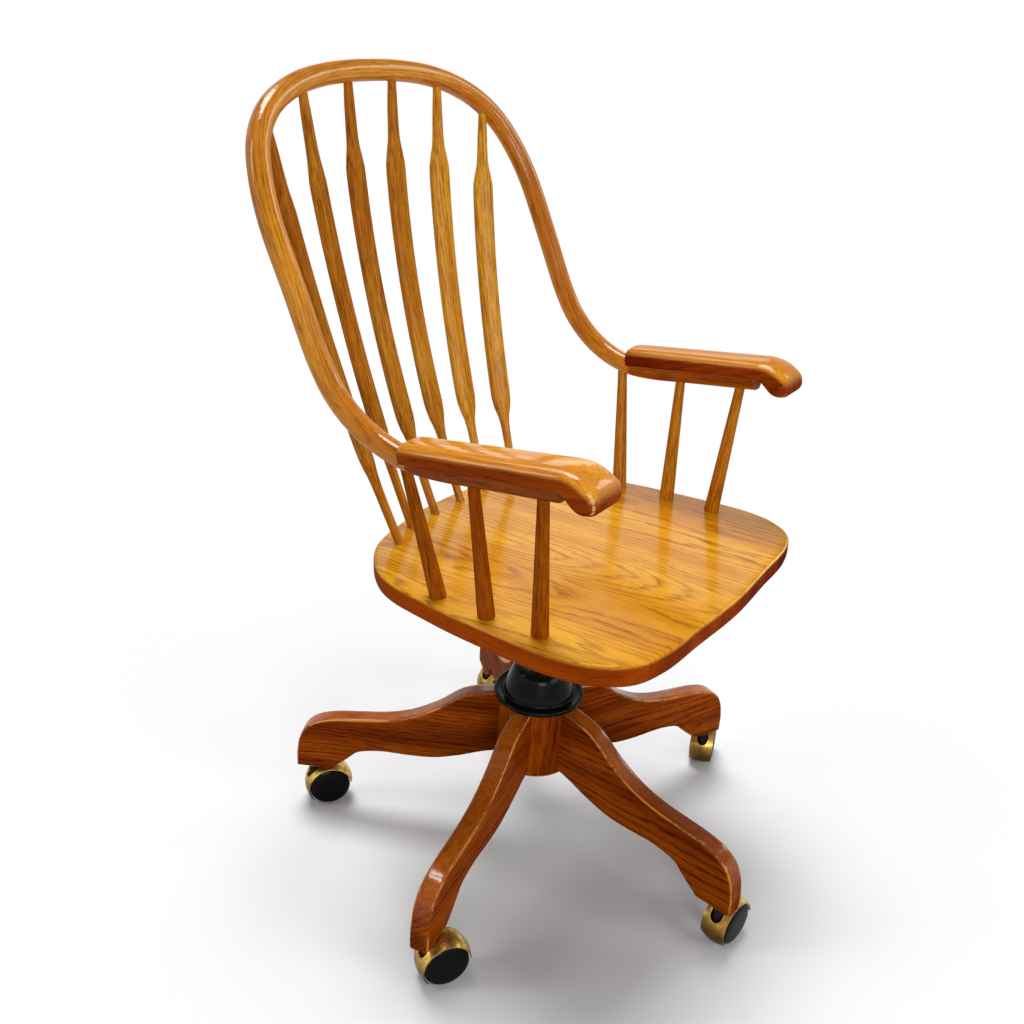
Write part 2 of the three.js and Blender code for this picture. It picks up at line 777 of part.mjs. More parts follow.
const plateTop = -seatThickness - gap;
const plateBottom = plateTop - plateThickness;

function tiltAxleGeometry() {
  const half = yokeHalfWidth + earThickness + 3 * gap;
  const shaft = tiltShaft(half + overrun);
  const head = (from, to) => rod(
    vector(from, tiltAxleSetback, tiltAxleHeight),
    vector(to, tiltAxleSetback, tiltAxleHeight),
    tiltAxleHeadRadius,
    socketSides,
  );
  return join(shaft, [
    head(-half - tiltAxleHeadThickness, -half),
    head(half, half + tiltAxleHeadThickness),
  ]);
}

class Coil extends THREE.Curve {
  constructor(radius, halfLength) {
    super();
    this.radius = radius;
    this.halfLength = halfLength;
  }

  getPoint(share, target = new THREE.Vector3()) {
    const angle = 2 * Math.PI * springTurns * share;
    const across = THREE.MathUtils.lerp(-this.halfLength, this.halfLength, share);
    return target.set(across, Math.cos(angle) * this.radius, Math.sin(angle) * this.radius);
  }
}

function springGeometry() {
  const wire = springWire / 2;
  const radius = tiltAxleHeight - bedTop - gap - wire;
  const section = new THREE.Shape().absarc(0, 0, wire, 0, 2 * Math.PI);
  const points = section.getPoints(springWireSides).slice(0, springWireSides);
  return new THREE.ExtrudeGeometry(new THREE.Shape(points), {
    extrudePath: new Coil(radius, cheekInner - wire - gap * 3),
    steps: springTurns * springStepsPerTurn,
  }).translate(0, tiltAxleSetback, tiltAxleHeight);
}

function knobGeometry() {
  const top = bedBottom - knobTopDrop;
  const screw = screwAxis(top - knobHeight, bedTop + screwTopRise, screwRadius, socketSides);
  const grip = screwAxis(top - knobHeight, top, knobRadius, stickSides);
  return join(grip, [screw]);
}

// Seat plate: flat under the plank, with two ears down to the axle
function seatPlateGeometry() {
  const flat = block(
    vector(-plateHalfWidth, -plateFront, plateBottom),
    vector(plateHalfWidth, plateRear, plateTop),
  );
  const holes = seatScrewPlaces().map((place) => drill(
    place.clone().add(vector(0, 0, -plateThickness - overrun)),
    place.clone().add(vector(0, 0, overrun)),
    seatScrewRadius + gap,
    stickSides,
  ));
  const earBase = seatTopAt(tiltAxleSetback) + plateBottom + plateThickness / 2;
  const earInner = yokeHalfWidth + gap;
  const ears = [
    axleLug(-earInner - earThickness, -earInner, earBase, earHalfLength, cheekRound),
    axleLug(earInner, earInner + earThickness, earBase, earHalfLength, cheekRound),
  ];
  const plate = cut(flat, holes).applyMatrix4(seatPlacing);
  return cut(join(plate, ears), [tiltBore(yokeHalfWidth + earThickness + overrun)]);
}

function seatScrewGeometry({ x, y }) {
  const headTop = plateBottom - gap;
  const tip = vector(x, y, seatScrewDepth - seatThickness);
  const under = vector(x, y, headTop - seatScrewHeadHeight);
  const head = rod(under, vector(x, y, headTop), seatScrewHeadRadius, stickSides);
  const shank = rod(vector(x, y, headTop - gap), tip, seatScrewRadius, stickSides);
  return join(head, [shank]).applyMatrix4(seatPlacing);
}

// Caster, in its own frame: stem on the origin, wheels trail towards +X, axle along Y, floor at zero
function hoodShell() {
  const inner = hoodRadius - hoodWall;
  const shape = new THREE.Shape();
  shape.absarc(0, 0, hoodRadius, hoodRearAngle, hoodFrontAngle, false);
  shape.absarc(0, 0, inner, hoodFrontAngle, hoodRearAngle, true);
  shape.closePath();
  const half = wheelRimPlane + hoodOverhang;
  const geometry = new THREE.ExtrudeGeometry(shape, {
    depth: 2 * half,
    steps: hoodCrownSteps,
    bevelEnabled: false,
    curveSegments: hoodArcPoints,
  }).translate(0, 0, -half);
  // The shell is highest over the web and falls to both wheels
  const position = geometry.attributes.position;
  for (let i = 0; i < position.count; i += 1) {
    const z = position.getZ(i);
    const fall = 1 - hoodCrownShare * (z / half) ** 2;
    position.setXYZ(i, position.getX(i) * fall, position.getY(i) * fall, z);
  }
  return geometry.rotateX(Math.PI / 2).translate(casterTrail, 0, wheelRadius);
}

function hoodWeb() {
  const half = hoodWebThickness / 2;
  const crown = hoodRadius - hoodWall * hoodWebShare;
  const shape = new THREE.Shape();
  shape.absarc(0, 0, crown, 2 * hoodRearAngle, Math.PI, false);
  shape.lineTo(-wheelHubRadius, -wheelHubRadius);
  shape.lineTo(wheelHubRadius, -wheelHubRadius);
  shape.closePath();
  const web = new THREE.ExtrudeGeometry(shape, {
    depth: hoodWebThickness,
    bevelEnabled: false,
    curveSegments: webArcPoints,
  });
  web.translate(0, 0, -half).rotateX(Math.PI / 2).translate(casterTrail, 0, wheelRadius);
  const front = block(
    vector(-hoodRadius, -hoodWebThickness, 0),
    vector(0, hoodWebThickness, 2 * hoodRadius),
  );
  return cut(web, [front]);
}

function hoodGeometry() {
  const hoodTop = wheelRadius + hoodRadius;
  const stemTop = legFootHeight + socketDepth - stemTopDrop;
  const bossTop = legFootHeight - socketFlangeThickness - 2 * gap;
  // Opening for the stem: round about it, and a slot with a round floor to the front
  const slotCentre = notchFloor + notchRadius;
  const notch = rod(vector(0, 0, slotCentre), vector(0, 0, hoodTop + overrun), notchRadius, socketSides);
  const floorRound = rod(
    vector(-hoodRadius, 0, slotCentre),
    vector(0, 0, slotCentre),
    notchRadius,
    socketSides,
  );
  const mouth = block(
    vector(-hoodRadius, -notchRadius, slotCentre),
    vector(0, notchRadius, hoodTop + overrun),
  );
  const stem = rod(vector(0, 0, wheelRadius), vector(0, 0, stemTop), stemRadius, socketSides);
  const boss = rod(vector(0, 0, wheelRadius), vector(0, 0, bossTop), stemBossRadius, socketSides);
  const bore = drill(
    vector(casterTrail, -hoodWebThickness, wheelRadius),
    vector(casterTrail, hoodWebThickness, wheelRadius),
    axleRadius + gap,
    stickSides,
  );
  const shell = cut(hoodShell(), [notch, floorRound, mouth]);
  return cut(join(shell, [hoodWeb(), stem, boss]), [bore]);
}

// Wheel about Y with its domed face towards +Y
function wheelGeometry() {
  const inner = hoodWebThickness / 2 + runningGap;
  const rimStart = wheelRimPlane - wheelRimWidth;
  const barrel = wheelRadius - wheelTreadDrop;
  const bore = axleRadius + runningGap;
  return turned([
    [bore, inner],
    [barrel, inner],
    [barrel, rimStart],
    [wheelRadius, rimStart + wheelDome / 4],
    [wheelRadius, wheelRimPlane],
    [wheelRadius * wheelDomeShares[0], wheelRimPlane + wheelDome * wheelDomeShares[1]],
    [wheelRadius / 2, wheelRimPlane + wheelDome],
    [0, wheelRimPlane + wheelDome],
    [0, wheelRimPlane],
    [bore, wheelRimPlane],
  ], wheelSides);
}

function casterParts(number) {
  const group = new THREE.Group();
  group.rotation.z = Math.PI * casterAngleShares[number];
  const label = number + 1;
  group.add(namedMesh(`caster_hood_${label}`, hoodGeometry(), brass()));
  const axleHalf = wheelRimPlane - gap;
  const left = vector(casterTrail, axleHalf, wheelRadius);
  const right = vector(casterTrail, -axleHalf, wheelRadius);
  group.add(namedMesh(`caster_axle_${label}`, rod(right, left, axleRadius, stickSides), steel()));
  for (const [letter, side] of [['a', -1], ['b', 1]]) {
    const wheel = namedMesh(`caster_wheel_${letter}_${label}`, wheelGeometry(), blackPlastic());
    wheel.rotation.x = side * -Math.PI / 2;
    wheel.position.set(casterTrail, 0, wheelRadius);
    group.add(wheel);
  }
  return group;
}

function legSocketGeometry() {
  const bore = stemRadius + runningGap;
  const flangeTop = legFootHeight - gap;
  const flangeBottom = flangeTop - socketFlangeThickness;
  const top = legFootHeight + socketDepth;
  return turned([
    [bore, flangeBottom],
    [socketFlangeRadius, flangeBottom],
    [socketFlangeRadius, flangeTop],
    [bore + socketWall, flangeTop],
    [bore + socketWall, top],
    [bore, top],
  ], socketSides);
}

// Assemblies
function baseAssembly() {
  const base = new THREE.Group();
  base.add(namedMesh('base_hub', hubGeometry(), baseOak()));
  legAngles().forEach((angle, i) => {
    const arm = new THREE.Group();
    arm.rotation.z = angle;
    arm.add(namedMesh(`leg_${i + 1}`, legGeometry(), baseOak()));
    const socket = namedMesh(`leg_socket_${i + 1}`, legSocketGeometry(), brass());
    socket.position.x = stemPlace;
    arm.add(socket);
    base.add(arm);
    const caster = casterParts(i);
    caster.position.set(stemPlace * Math.cos(angle), stemPlace * Math.sin(angle), 0);
    base.add(caster);
  });
  base.add(namedMesh('column_tube', tubeGeometry(), steel()));
  base.add(namedMesh('height_nut', nutGeometry(), steel()));
  base.add(namedMesh('hub_cover', coverGeometry(), blackPlastic()));
  base.add(namedMesh('lift_spindle', liftSpindleGeometry(), steel()));
  return base;
}

function tiltAssembly() {
  const tilt = new THREE.Group();
  tilt.add(namedMesh('tilt_yoke', yokeGeometry(), castIron()));
  tilt.add(namedMesh('tilt_axle', tiltAxleGeometry(), steel()));
  tilt.add(namedMesh('tilt_spring', springGeometry(), steel()));
  tilt.add(namedMesh('tension_knob', knobGeometry(), blackPlastic()));
  tilt.add(namedMesh('seat_plate', seatPlateGeometry(), castIron()));
  seatScrewPlaces().forEach((place, i) => {
    tilt.add(namedMesh(`seat_screw_${i + 1}`, seatScrewGeometry(place), steel()));
  });
  return tilt;
}

function bodyAssembly() {
  const body = new THREE.Group();
  const sticks = [];
  // Spindles are numbered from the sitter's right to the left
  for (let i = 0; i < 2 * spindlePlaceShares.length; i += 1) {
    const side = i < spindlePlaceShares.length ? -1 : 1;
    const fromMiddle = side < 0 ? spindlePlaceShares.length - 1 - i : i - spindlePlaceShares.length;
    const stick = spindleStick(fromMiddle, side);
    sticks.push(stick);
    body.add(namedMesh(`back_spindle_${i + 1}`, spindleGeometry(stick), oak()));
  }
  for (const [word, side] of [['right', -1], ['left', 1]]) {
    for (let i = 0; i < postPlaceShares.length; i += 1) {
      const stick = postStick(i, side);
      sticks.push(stick);
      body.add(namedMesh(`arm_post_${word}_${i + 1}`, postGeometry(stick), oak()));
    }
    body.add(namedMesh(`arm_cap_${word}`, capGeometry(side), oak()));
  }
  body.add(namedMesh('back_bow', bowGeometry(sticks), oak()));
  body.add(namedMesh('seat', seatGeometry(sticks), seatOak()));
  return body;
}

function bankersChair() {
  const chair = new THREE.Group();
  chair.add(baseAssembly(), tiltAssembly(), bodyAssembly());
  chair.updateMatrixWorld(true);
  const box = new THREE.Box3().setFromObject(chair, true);
  const middle = box.getCenter(new THREE.Vector3());
  chair.position.set(-middle.x, -middle.y, 0);
  return chair;
}

export default bankersChair();
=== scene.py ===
from math import atan2, cos, pi, radians, sin, sqrt, tan

import bmesh
import bpy
from mathutils import Matrix, Vector


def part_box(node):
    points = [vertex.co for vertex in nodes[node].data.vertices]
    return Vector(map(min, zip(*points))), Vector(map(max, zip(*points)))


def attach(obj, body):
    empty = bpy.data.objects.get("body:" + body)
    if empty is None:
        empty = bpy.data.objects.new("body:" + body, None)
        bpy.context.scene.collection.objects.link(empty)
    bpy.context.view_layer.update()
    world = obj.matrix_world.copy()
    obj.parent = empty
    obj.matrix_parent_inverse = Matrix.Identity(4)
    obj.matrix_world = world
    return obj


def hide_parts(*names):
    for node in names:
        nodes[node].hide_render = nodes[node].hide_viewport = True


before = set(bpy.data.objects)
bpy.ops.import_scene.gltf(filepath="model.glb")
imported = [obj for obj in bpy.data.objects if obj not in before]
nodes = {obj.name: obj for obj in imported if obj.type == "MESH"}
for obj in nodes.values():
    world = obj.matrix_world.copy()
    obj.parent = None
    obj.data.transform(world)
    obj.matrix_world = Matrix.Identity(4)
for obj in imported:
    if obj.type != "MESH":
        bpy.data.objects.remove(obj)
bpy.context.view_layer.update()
scene = bpy.context.scene
scene.view_settings.view_transform = "Standard"

# Shapes are made in millimetres with the swivel axis at zero, and put in place once, in metres
mm = 0.001
spindleLow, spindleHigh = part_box("lift_spindle")
swivelAxis = Vector(((spindleLow.x + spindleHigh.x) / 2, (spindleLow.y + spindleHigh.y) / 2, 0))
chairPlace = Matrix.Translation(swivelAxis) @ Matrix.Scale(mm, 4)
print("frame loaded, swivel axis at", [round(v, 4) for v in swivelAxis])


def addObject(name, data):
    thing = bpy.data.objects.new(name, data)
    scene.collection.objects.link(thing)
    return thing


def meshFrom(bm, name):
    mesh = bpy.data.meshes.new(name)
    bm.to_mesh(mesh)
    bm.free()
    return mesh


def moved(*offset):
    return Matrix.Translation(offset)


def spun(angle, axis):
    return Matrix.Rotation(angle, 4, axis)


# Camera and light

shot = {
    "target": (-28.80, 44.21, 499.40), "distance": 1409.06, "turn": -0.99171, "rise": 0.43498,
    "roll": 0.06543, "focal": 1105.23, "imageSide": 1024, "sensor": 36, "nearest": 0.05,
}


def makeCamera():
    data = bpy.data.cameras.new("shot")
    data.sensor_width = shot["sensor"]
    data.lens = shot["sensor"] * shot["focal"] / shot["imageSide"]
    data.clip_start = shot["nearest"]
    scene.camera = addObject("shot", data)
    scene.camera.matrix_world = (
        moved(*(chairPlace @ Vector(shot["target"]))) @ spun(shot["turn"], "Z")
        @ spun(pi / 2 - shot["rise"], "X") @ spun(shot["roll"], "Z")
        @ moved(0, 0, shot["distance"] * mm)
    )


light = {
    "sunStrength": 2.2, "sunSoftness": 26, "sunFrom": (0.24, 0.32, 1.45),
    # The world seen by mirror rays is white up to one height and dims to the ceiling at the next
    "skyStrength": 0.15, "ceilingStrength": 0.26, "whiteTo": 0.36, "ceilingFrom": 0.50,
    "softboxes": [
        # name, place in metres from the swivel axis, what it faces, width, height, watts
        ("key", (0.7, 2.4, 4.6), (0, 0, 0.5), 1.6, 1.6, 40),
        ("windowLeft", (-3.0, 3.0, 3.4), (0, 0, 0.6), 0.8, 2.2, 40),
        ("windowFront", (-3.4, -3.1, 1.5), (0, 0, 0.7), 2.0, 1.4, 80),
        ("shopFront", (0.3, -4.2, 2.2), (0, 0, 0.7), 2.2, 1.4, 48),
        ("sideLamp", (3.4, -1.8, 2.8), (0, 0, 0.6), 0.9, 0.9, 13),
        ("farPanel", (4.0, 2.6, 2.6), (0, 0, 0.5), 2.8, 1.2, 18),
    ],
}


def makeLights():
    sun = bpy.data.lights.new("sun", "SUN")
    sun.energy = light["sunStrength"]
    sun.angle = radians(light["sunSoftness"])
    turn = Vector(light["sunFrom"]).to_track_quat("Z", "Y").to_euler()
    addObject("sun", sun).rotation_euler = turn
    for name, place, aim, width, height, watts in light["softboxes"]:
        box = bpy.data.lights.new(name, "AREA")
        box.shape = "RECTANGLE"
        box.size, box.size_y = width, height
        box.energy = watts
        boxObject = addObject(name, box)
        boxObject.location = swivelAxis + Vector(place)
        toAim = Vector(aim) - Vector(place)
        boxObject.rotation_euler = toAim.to_track_quat("-Z", "Y").to_euler()
        boxObject.visible_camera = False


# Shader helpers

def feed(tree, sockets, values):
    # Each value is a socket to link or a constant
    for name, value in values.items():
        if isinstance(value, bpy.types.NodeSocket):
            tree.links.new(value, sockets[name])
        else:
            sockets[name].default_value = value


def addNode(tree, kind, inputs=None, **settings):
    node = tree.nodes.new("ShaderNode" + kind)
    for name, value in settings.items():
        setattr(node, name, value)
    feed(tree, node.inputs, inputs or {})
    return node


def treeOf(values):
    # Nodes for a socket are added to the tree that it is in
    return next(value for value in values if isinstance(value, bpy.types.NodeSocket)).id_data


def maths(operation, *values):
    return addNode(treeOf(values), "Math", dict(enumerate(values)), operation=operation).outputs[0]


def plus(first, second):
    return maths("ADD", first, second)


def minus(first, second):
    return maths("SUBTRACT", first, second)


def times(first, second):
    return maths("MULTIPLY", first, second)


def timesPlus(value, factor, more):
    return maths("MULTIPLY_ADD", value, factor, more)


def vectorMaths(operation, *values):
    return addNode(treeOf(values), "VectorMath", dict(enumerate(values)), operation=operation).outputs


def partsOf(vector):
    return addNode(vector.id_data, "SeparateXYZ", {0: vector}).outputs


def noise(place, scale, detail=2, roughness=0.5, output="Fac"):
    scaled = vectorMaths("MULTIPLY", place, scale)[0]
    inputs = {"Vector": scaled, "Scale": 1, "Detail": detail, "Roughness": roughness}
    return addNode(place.id_data, "TexNoise", inputs).outputs[output]


def remap(value, fromLow, fromHigh, toLow=0, toHigh=1, kind="SMOOTHSTEP"):
    return addNode(value.id_data, "MapRange", {
        "Value": value, "From Min": fromLow, "From Max": fromHigh, "To Min": toLow, "To Max": toHigh,
    }, interpolation_type=kind).outputs[0]


def blendColour(factor, first, second, mode="MIX"):
    inputs = {0: factor, 6: first, 7: second}
    return addNode(factor.id_data, "Mix", inputs, data_type="RGBA", blend_type=mode).outputs[2]


def linear(red, green, blue):
    # Colour picked on a 0 to 255 scale
    shares = [channel / 255 for channel in (red, green, blue)]
    return tuple(s / 12.92 if s <= 0.04045 else ((s + 0.055) / 1.055) ** 2.4 for s in shares) + (1.0,)


def newGroup(name, inputs, outputs):
    group = bpy.data.node_groups.new(name, "ShaderNodeTree")
    for direction, sockets in (("INPUT", inputs), ("OUTPUT", outputs)):
        for socket in sockets:
            kind = "NodeSocketVector" if socket == "Place" else "NodeSocketFloat"
            group.interface.new_socket(socket, in_out=direction, socket_type=kind)
    return group, group.nodes.new("NodeGroupInput").outputs, group.nodes.new("NodeGroupOutput").inputs


# Shared effects. Noise scales are in turns a metre across, in depth and along

grainLook = {
    "warpScale": (9, 9, 2.2), "unevenScale": (120, 120, 9), "uneven": 1.1, "alongShift": 40,
    # Share of a ring where its line comes and goes, and how much lines differ
    "lineRise": (0, 0.12), "lineFall": (0.14, 0.52), "lineRange": (0.6, 0.4),
    "wideScale": (430, 430, 34), "wideRange": (0.42, 0.60), "wideShare": 0.55,
    "fineScale": (1500, 1500, 95), "fineRange": (0.44, 0.64), "fineShare": 0.45,
    "lineStreaks": (0.7, 0.3), "toneScale": (26, 26, 3.2), "toneRange": (0.3, 0.7), "boardTone": 0.25,
}
wearLook = {
    "patchScale": (30, 30, 16), "speckScale": (420, 420, 180), "speckShare": 0.4, "range": (0.72, 0.84),
}
dustLook = {
    "cloudScale": (60, 60, 60), "cloudRange": (0.35, 0.75), "speckScale": (900, 900, 900),
    "speckRange": (0.45, 0.7, 0.35, 1), "onSides": 0.25,
}


def chanceOf(number):
    # Three even chances from one whole number
    picked = addNode(number.id_data, "TexWhiteNoise", {"W": number}, noise_dimensions="1D")
    return addNode(number.id_data, "SeparateColor", {0: picked.outputs["Color"]}).outputs


def makeGrainGroup():
    # Place is in metres along an unbent board: X and Y across, Z along the grain
    look = grainLook
    group, given, result = newGroup(
        "oakGrain", ["Place", "Board Width", "Board Shift", "Ring Width", "Pith Depth", "Lean", "Warp"],
        ["Lines", "Streaks", "Tone", "Height"],
    )
    across, depth, along = partsOf(given["Place"])
    board = maths("ROUND", maths("DIVIDE", across, given["Board Width"]))
    chance = chanceOf(board)
    inBoard = minus(across, times(board, given["Board Width"]))
    shift = times(minus(chance[0], 0.5), given["Board Shift"])
    farAlong = timesPlus(times(chance[2], given["Board Shift"]), look["alongShift"], along)
    inputs = {0: plus(inBoard, shift), 1: depth, 2: farAlong}
    place = addNode(group, "CombineXYZ", inputs).outputs[0]

    slow = noise(place, look["warpScale"], output="Color")
    centred = vectorMaths("SUBTRACT", slow, (0.5, 0.5, 0.5))[0]
    warp = addNode(group, "VectorMath", {0: centred, "Scale": given["Warp"]}, operation="SCALE").outputs[0]
    parts = partsOf(vectorMaths("ADD", place, warp)[0])
    lean = times(given["Lean"], timesPlus(chance[1], 2, -1))
    fromPith = plus(parts[1], given["Pith Depth"])
    fromPith = plus(fromPith, times(lean, along))
    flat = addNode(group, "CombineXYZ", {0: parts[0], 1: fromPith}).outputs[0]
    radius = vectorMaths("LENGTH", flat)["Value"]
    uneven = noise(place, look["unevenScale"], 3, 0.6)
    turns = maths("DIVIDE", radius, given["Ring Width"])
    turns = timesPlus(uneven, look["uneven"], turns)
    ringChance = chanceOf(maths("FLOOR", turns))
    saw = maths("FRACT", turns)
    early = times(remap(saw, *look["lineRise"]), remap(saw, *look["lineFall"], 1, 0))
    early = times(early, timesPlus(ringChance[0], *look["lineRange"]))

    wideStreaks = remap(noise(place, look["wideScale"], 3, 0.6), *look["wideRange"])
    fineStreaks = remap(noise(place, look["fineScale"]), *look["fineRange"])
    streaks = timesPlus(fineStreaks, look["fineShare"], times(wideStreaks, look["wideShare"]))
    lines = times(early, timesPlus(streaks, *look["lineStreaks"]))
    tone = noise(place, look["toneScale"])
    tone = timesPlus(minus(chance[2], 0.5), look["boardTone"], tone)
    feed(group, result, {
        "Lines": lines, "Streaks": streaks, "Tone": remap(tone, *look["toneRange"]),
        "Height": minus(1, times(lines, fineStreaks)),
    })
    return group


def makeWearGroup():
    # Edge is 1 along the arrises; only what lies above Start is rubbed, in broken stretches
    group, given, result = newGroup("edgeWear", ["Edge", "Place", "Start", "Amount"], ["Mask"])
    patches = noise(given["Place"], wearLook["patchScale"], 4, 0.65)
    specks = noise(given["Place"], wearLook["speckScale"])
    worn = timesPlus(specks, wearLook["speckShare"], patches)
    worn = remap(plus(worn, given["Amount"]), *wearLook["range"])
    near = remap(given["Edge"], given["Start"], 1, kind="LINEAR")
    feed(group, result, {"Mask": times(worn, near)})
    return group


def facingUp(tree):
    return partsOf(addNode(tree, "NewGeometry").outputs["Normal"])[2]


def makeDustGroup():
    group, given, result = newGroup("dust", ["Place", "Amount"], ["Mask"])
    cloud = noise(given["Place"], dustLook["cloudScale"], 4, 0.7)
    specks = noise(given["Place"], dustLook["speckScale"], 1)
    upward = remap(facingUp(group), 0, 1, dustLook["onSides"], 1)
    mask = times(
        remap(cloud, *dustLook["cloudRange"]), remap(specks, *dustLook["speckRange"]),
    )
    feed(group, result, {"Mask": times(times(mask, upward), given["Amount"])})
    return group


grainGroup = makeGrainGroup()
wearGroup = makeWearGroup()
dustGroup = makeDustGroup()


# Finishes

def emptyTree(owner):
    owner.use_nodes = True
    owner.node_tree.nodes.clear()
    return owner.node_tree


def newMaterial(name):
    material = bpy.data.materials.new(name)
    return material, emptyTree(material)


def addSurface(tree, surface):
    output = addNode(tree, "OutputMaterial")
    tree.links.new(surface.outputs[0], output.inputs[0])


def addBump(height, strength, distance):
    inputs = {"Strength": strength, "Distance": distance, "Height": height}
    return addNode(height.id_data, "Bump", inputs).outputs[0]


def attribute(tree, name, output="Fac"):
    return addNode(tree, "Attribute", attribute_name=name).outputs[output]


def objectPlace(tree):
    return addNode(tree, "TexCoord").outputs["Object"]


def dusty(place, amount):
    inputs = {"Place": place, "Amount": amount}
    return addNode(place.id_data, "Group", inputs, node_tree=dustGroup).outputs["Mask"]


# Shared by the oak finishes: one wide board, worn a little
oakCommon = {
    "ringWidth": 0.0046, "pithDepth": 0.03, "lean": 0.02, "warp": 0.05, "boardWidth": 9, "boardShift": 0,
    "rough": 0.40,
}
# Pale and deep wood where it faces up, the same on its sides, and the worn edge. Top and side colours differ
# as painted light and shade: sides darker on seat, caps and legs, lighter on the bow
oakFinishes = {
    "seatOak": {
        "top": [(228, 164, 36), (208, 137, 20)], "side": [(182, 78, 2), (140, 52, 1)],
        "worn": (255, 226, 160), "topLines": 1.0, "sideLines": 0.4, "streaks": 0.4, "ringWidth": 0.0062,
        "pithDepth": 0.02, "lean": 0.13, "boardWidth": 0.108, "boardShift": 0.07, "wearStart": 0.86,
        "wear": 0.16, "coatTop": 0.36, "coatSide": 0.05, "coatRough": 0.17, "rough": 0.42,
    },
    "frameOak": {
        "top": [(220, 144, 36), (186, 108, 18)], "side": [(252, 176, 36), (206, 122, 10)],
        "worn": (250, 206, 130), "topLines": 0.8, "sideLines": 0.9, "streaks": 0.65, "wearStart": 0.86,
        "wear": -0.02, "coatTop": 0.9, "coatSide": 0.5, "coatRough": 0.13,
    },
    "capOak": {
        "top": [(236, 166, 50), (214, 136, 34)], "side": [(182, 84, 6), (136, 46, 2)],
        "worn": (250, 214, 140), "topLines": 0.45, "sideLines": 0.9, "streaks": 0.5, "wearStart": 0.93,
        "wear": 0.0, "coatTop": 0.7, "coatSide": 0.06, "coatRough": 0.10,
    },
    "stickOak": {
        "top": [(252, 192, 60), (232, 160, 38)], "side": [(252, 192, 54), (232, 160, 32)],
        "worn": (236, 186, 110), "topLines": 0.85, "sideLines": 0.85, "streaks": 0.8, "ringWidth": 0.0042,
        "warp": 0.03, "wearStart": 0.95, "wear": -0.2, "coatTop": 0.4, "coatSide": 0.16, "coatRough": 0.12,
        "rough": 0.45,
    },
    "baseOak": {
        "top": [(188, 102, 26), (156, 74, 14)], "side": [(181, 88, 6), (128, 51, 2)],
        "worn": (234, 160, 68), "topLines": 0.4, "sideLines": 1.7, "streaks": 0.75, "ringWidth": 0.0072,
        "pithDepth": 0.045, "lean": 0.03, "wearStart": 0.76, "wear": 0.09, "coatTop": 0.9,
        "coatSide": 0.06, "coatRough": 0.13,
    },
}
# Colours that multiply in: stain with painted shade, grain lines and streaks
oakTints = {"stainAndShade": (0.40, 0.15, 0.03, 1), "line": (0.36, 0.19, 0.07, 1), "streak": (0.50, 0.32, 0.16, 1)}
# How much lines, wear, and stain with painted shade change the shine, and the depth of the pores
oakShine = {
    "upward": (0.05, 0.8), "stainAndShadeOnTop": 0.45, "wornColour": 0.8, "lineRough": 0.12, "wornRough": 0.2,
    "wornCoat": -0.5, "stainAndShadeCoat": -0.8, "bump": (0.35, 0.0003),
}


def makeOak(name, look):
    material, tree = newMaterial(name)
    shine = oakShine
    place, edge, stainAndShade = attribute(tree, "grain", "Vector"), attribute(tree, "edge"), attribute(tree, "stainAndShade")
    grain = addNode(tree, "Group", {
        "Place": place, "Board Width": look["boardWidth"], "Board Shift": look["boardShift"],
        "Ring Width": look["ringWidth"], "Pith Depth": look["pithDepth"], "Lean": look["lean"],
        "Warp": look["warp"],
    }, node_tree=grainGroup).outputs
    wear = addNode(tree, "Group", {
        "Edge": edge, "Place": place, "Start": look["wearStart"], "Amount": look["wear"],
    }, node_tree=wearGroup).outputs["Mask"]
    upward = remap(facingUp(tree), *shine["upward"])
    side, top = (
        blendColour(grain["Tone"], linear(*pale), linear(*deep))
        for pale, deep in (look["side"], look["top"])
    )
    # Painted light and shade: the colour goes from the side colours to the top colours as a face turns up
    colour = blendColour(upward, side, top)
    # Stain and painted shade darken the colour, less where a face turns up
    stainedAndShaded = times(stainAndShade, remap(upward, 0, 1, 1, shine["stainAndShadeOnTop"], "LINEAR"))
    colour = blendColour(stainedAndShaded, colour, oakTints["stainAndShade"], "MULTIPLY")
    streaks = times(grain["Streaks"], look["streaks"])
    colour = blendColour(streaks, colour, oakTints["streak"], "MULTIPLY")
    strength = remap(upward, 0, 1, look["sideLines"], look["topLines"], "LINEAR")
    colour = blendColour(times(grain["Lines"], strength), colour, oakTints["line"], "MULTIPLY")
    colour = blendColour(times(wear, shine["wornColour"]), colour, linear(*look["worn"]))
    rough = timesPlus(grain["Lines"], shine["lineRough"], look["rough"])
    coat = remap(upward, 0, 1, look["coatSide"], look["coatTop"], "LINEAR")
    coat = times(coat, timesPlus(wear, shine["wornCoat"], 1))
    addSurface(tree, addNode(tree, "BsdfPrincipled", {
        "Base Color": colour, "Roughness": timesPlus(wear, shine["wornRough"], rough),
        "Coat Weight": times(coat, timesPlus(stainAndShade, shine["stainAndShadeCoat"], 1)),
        "Coat Roughness": look["coatRough"], "Specular IOR Level": 0.0,
        "Normal": addBump(grain["Height"], *shine["bump"]),
    }))
    return material


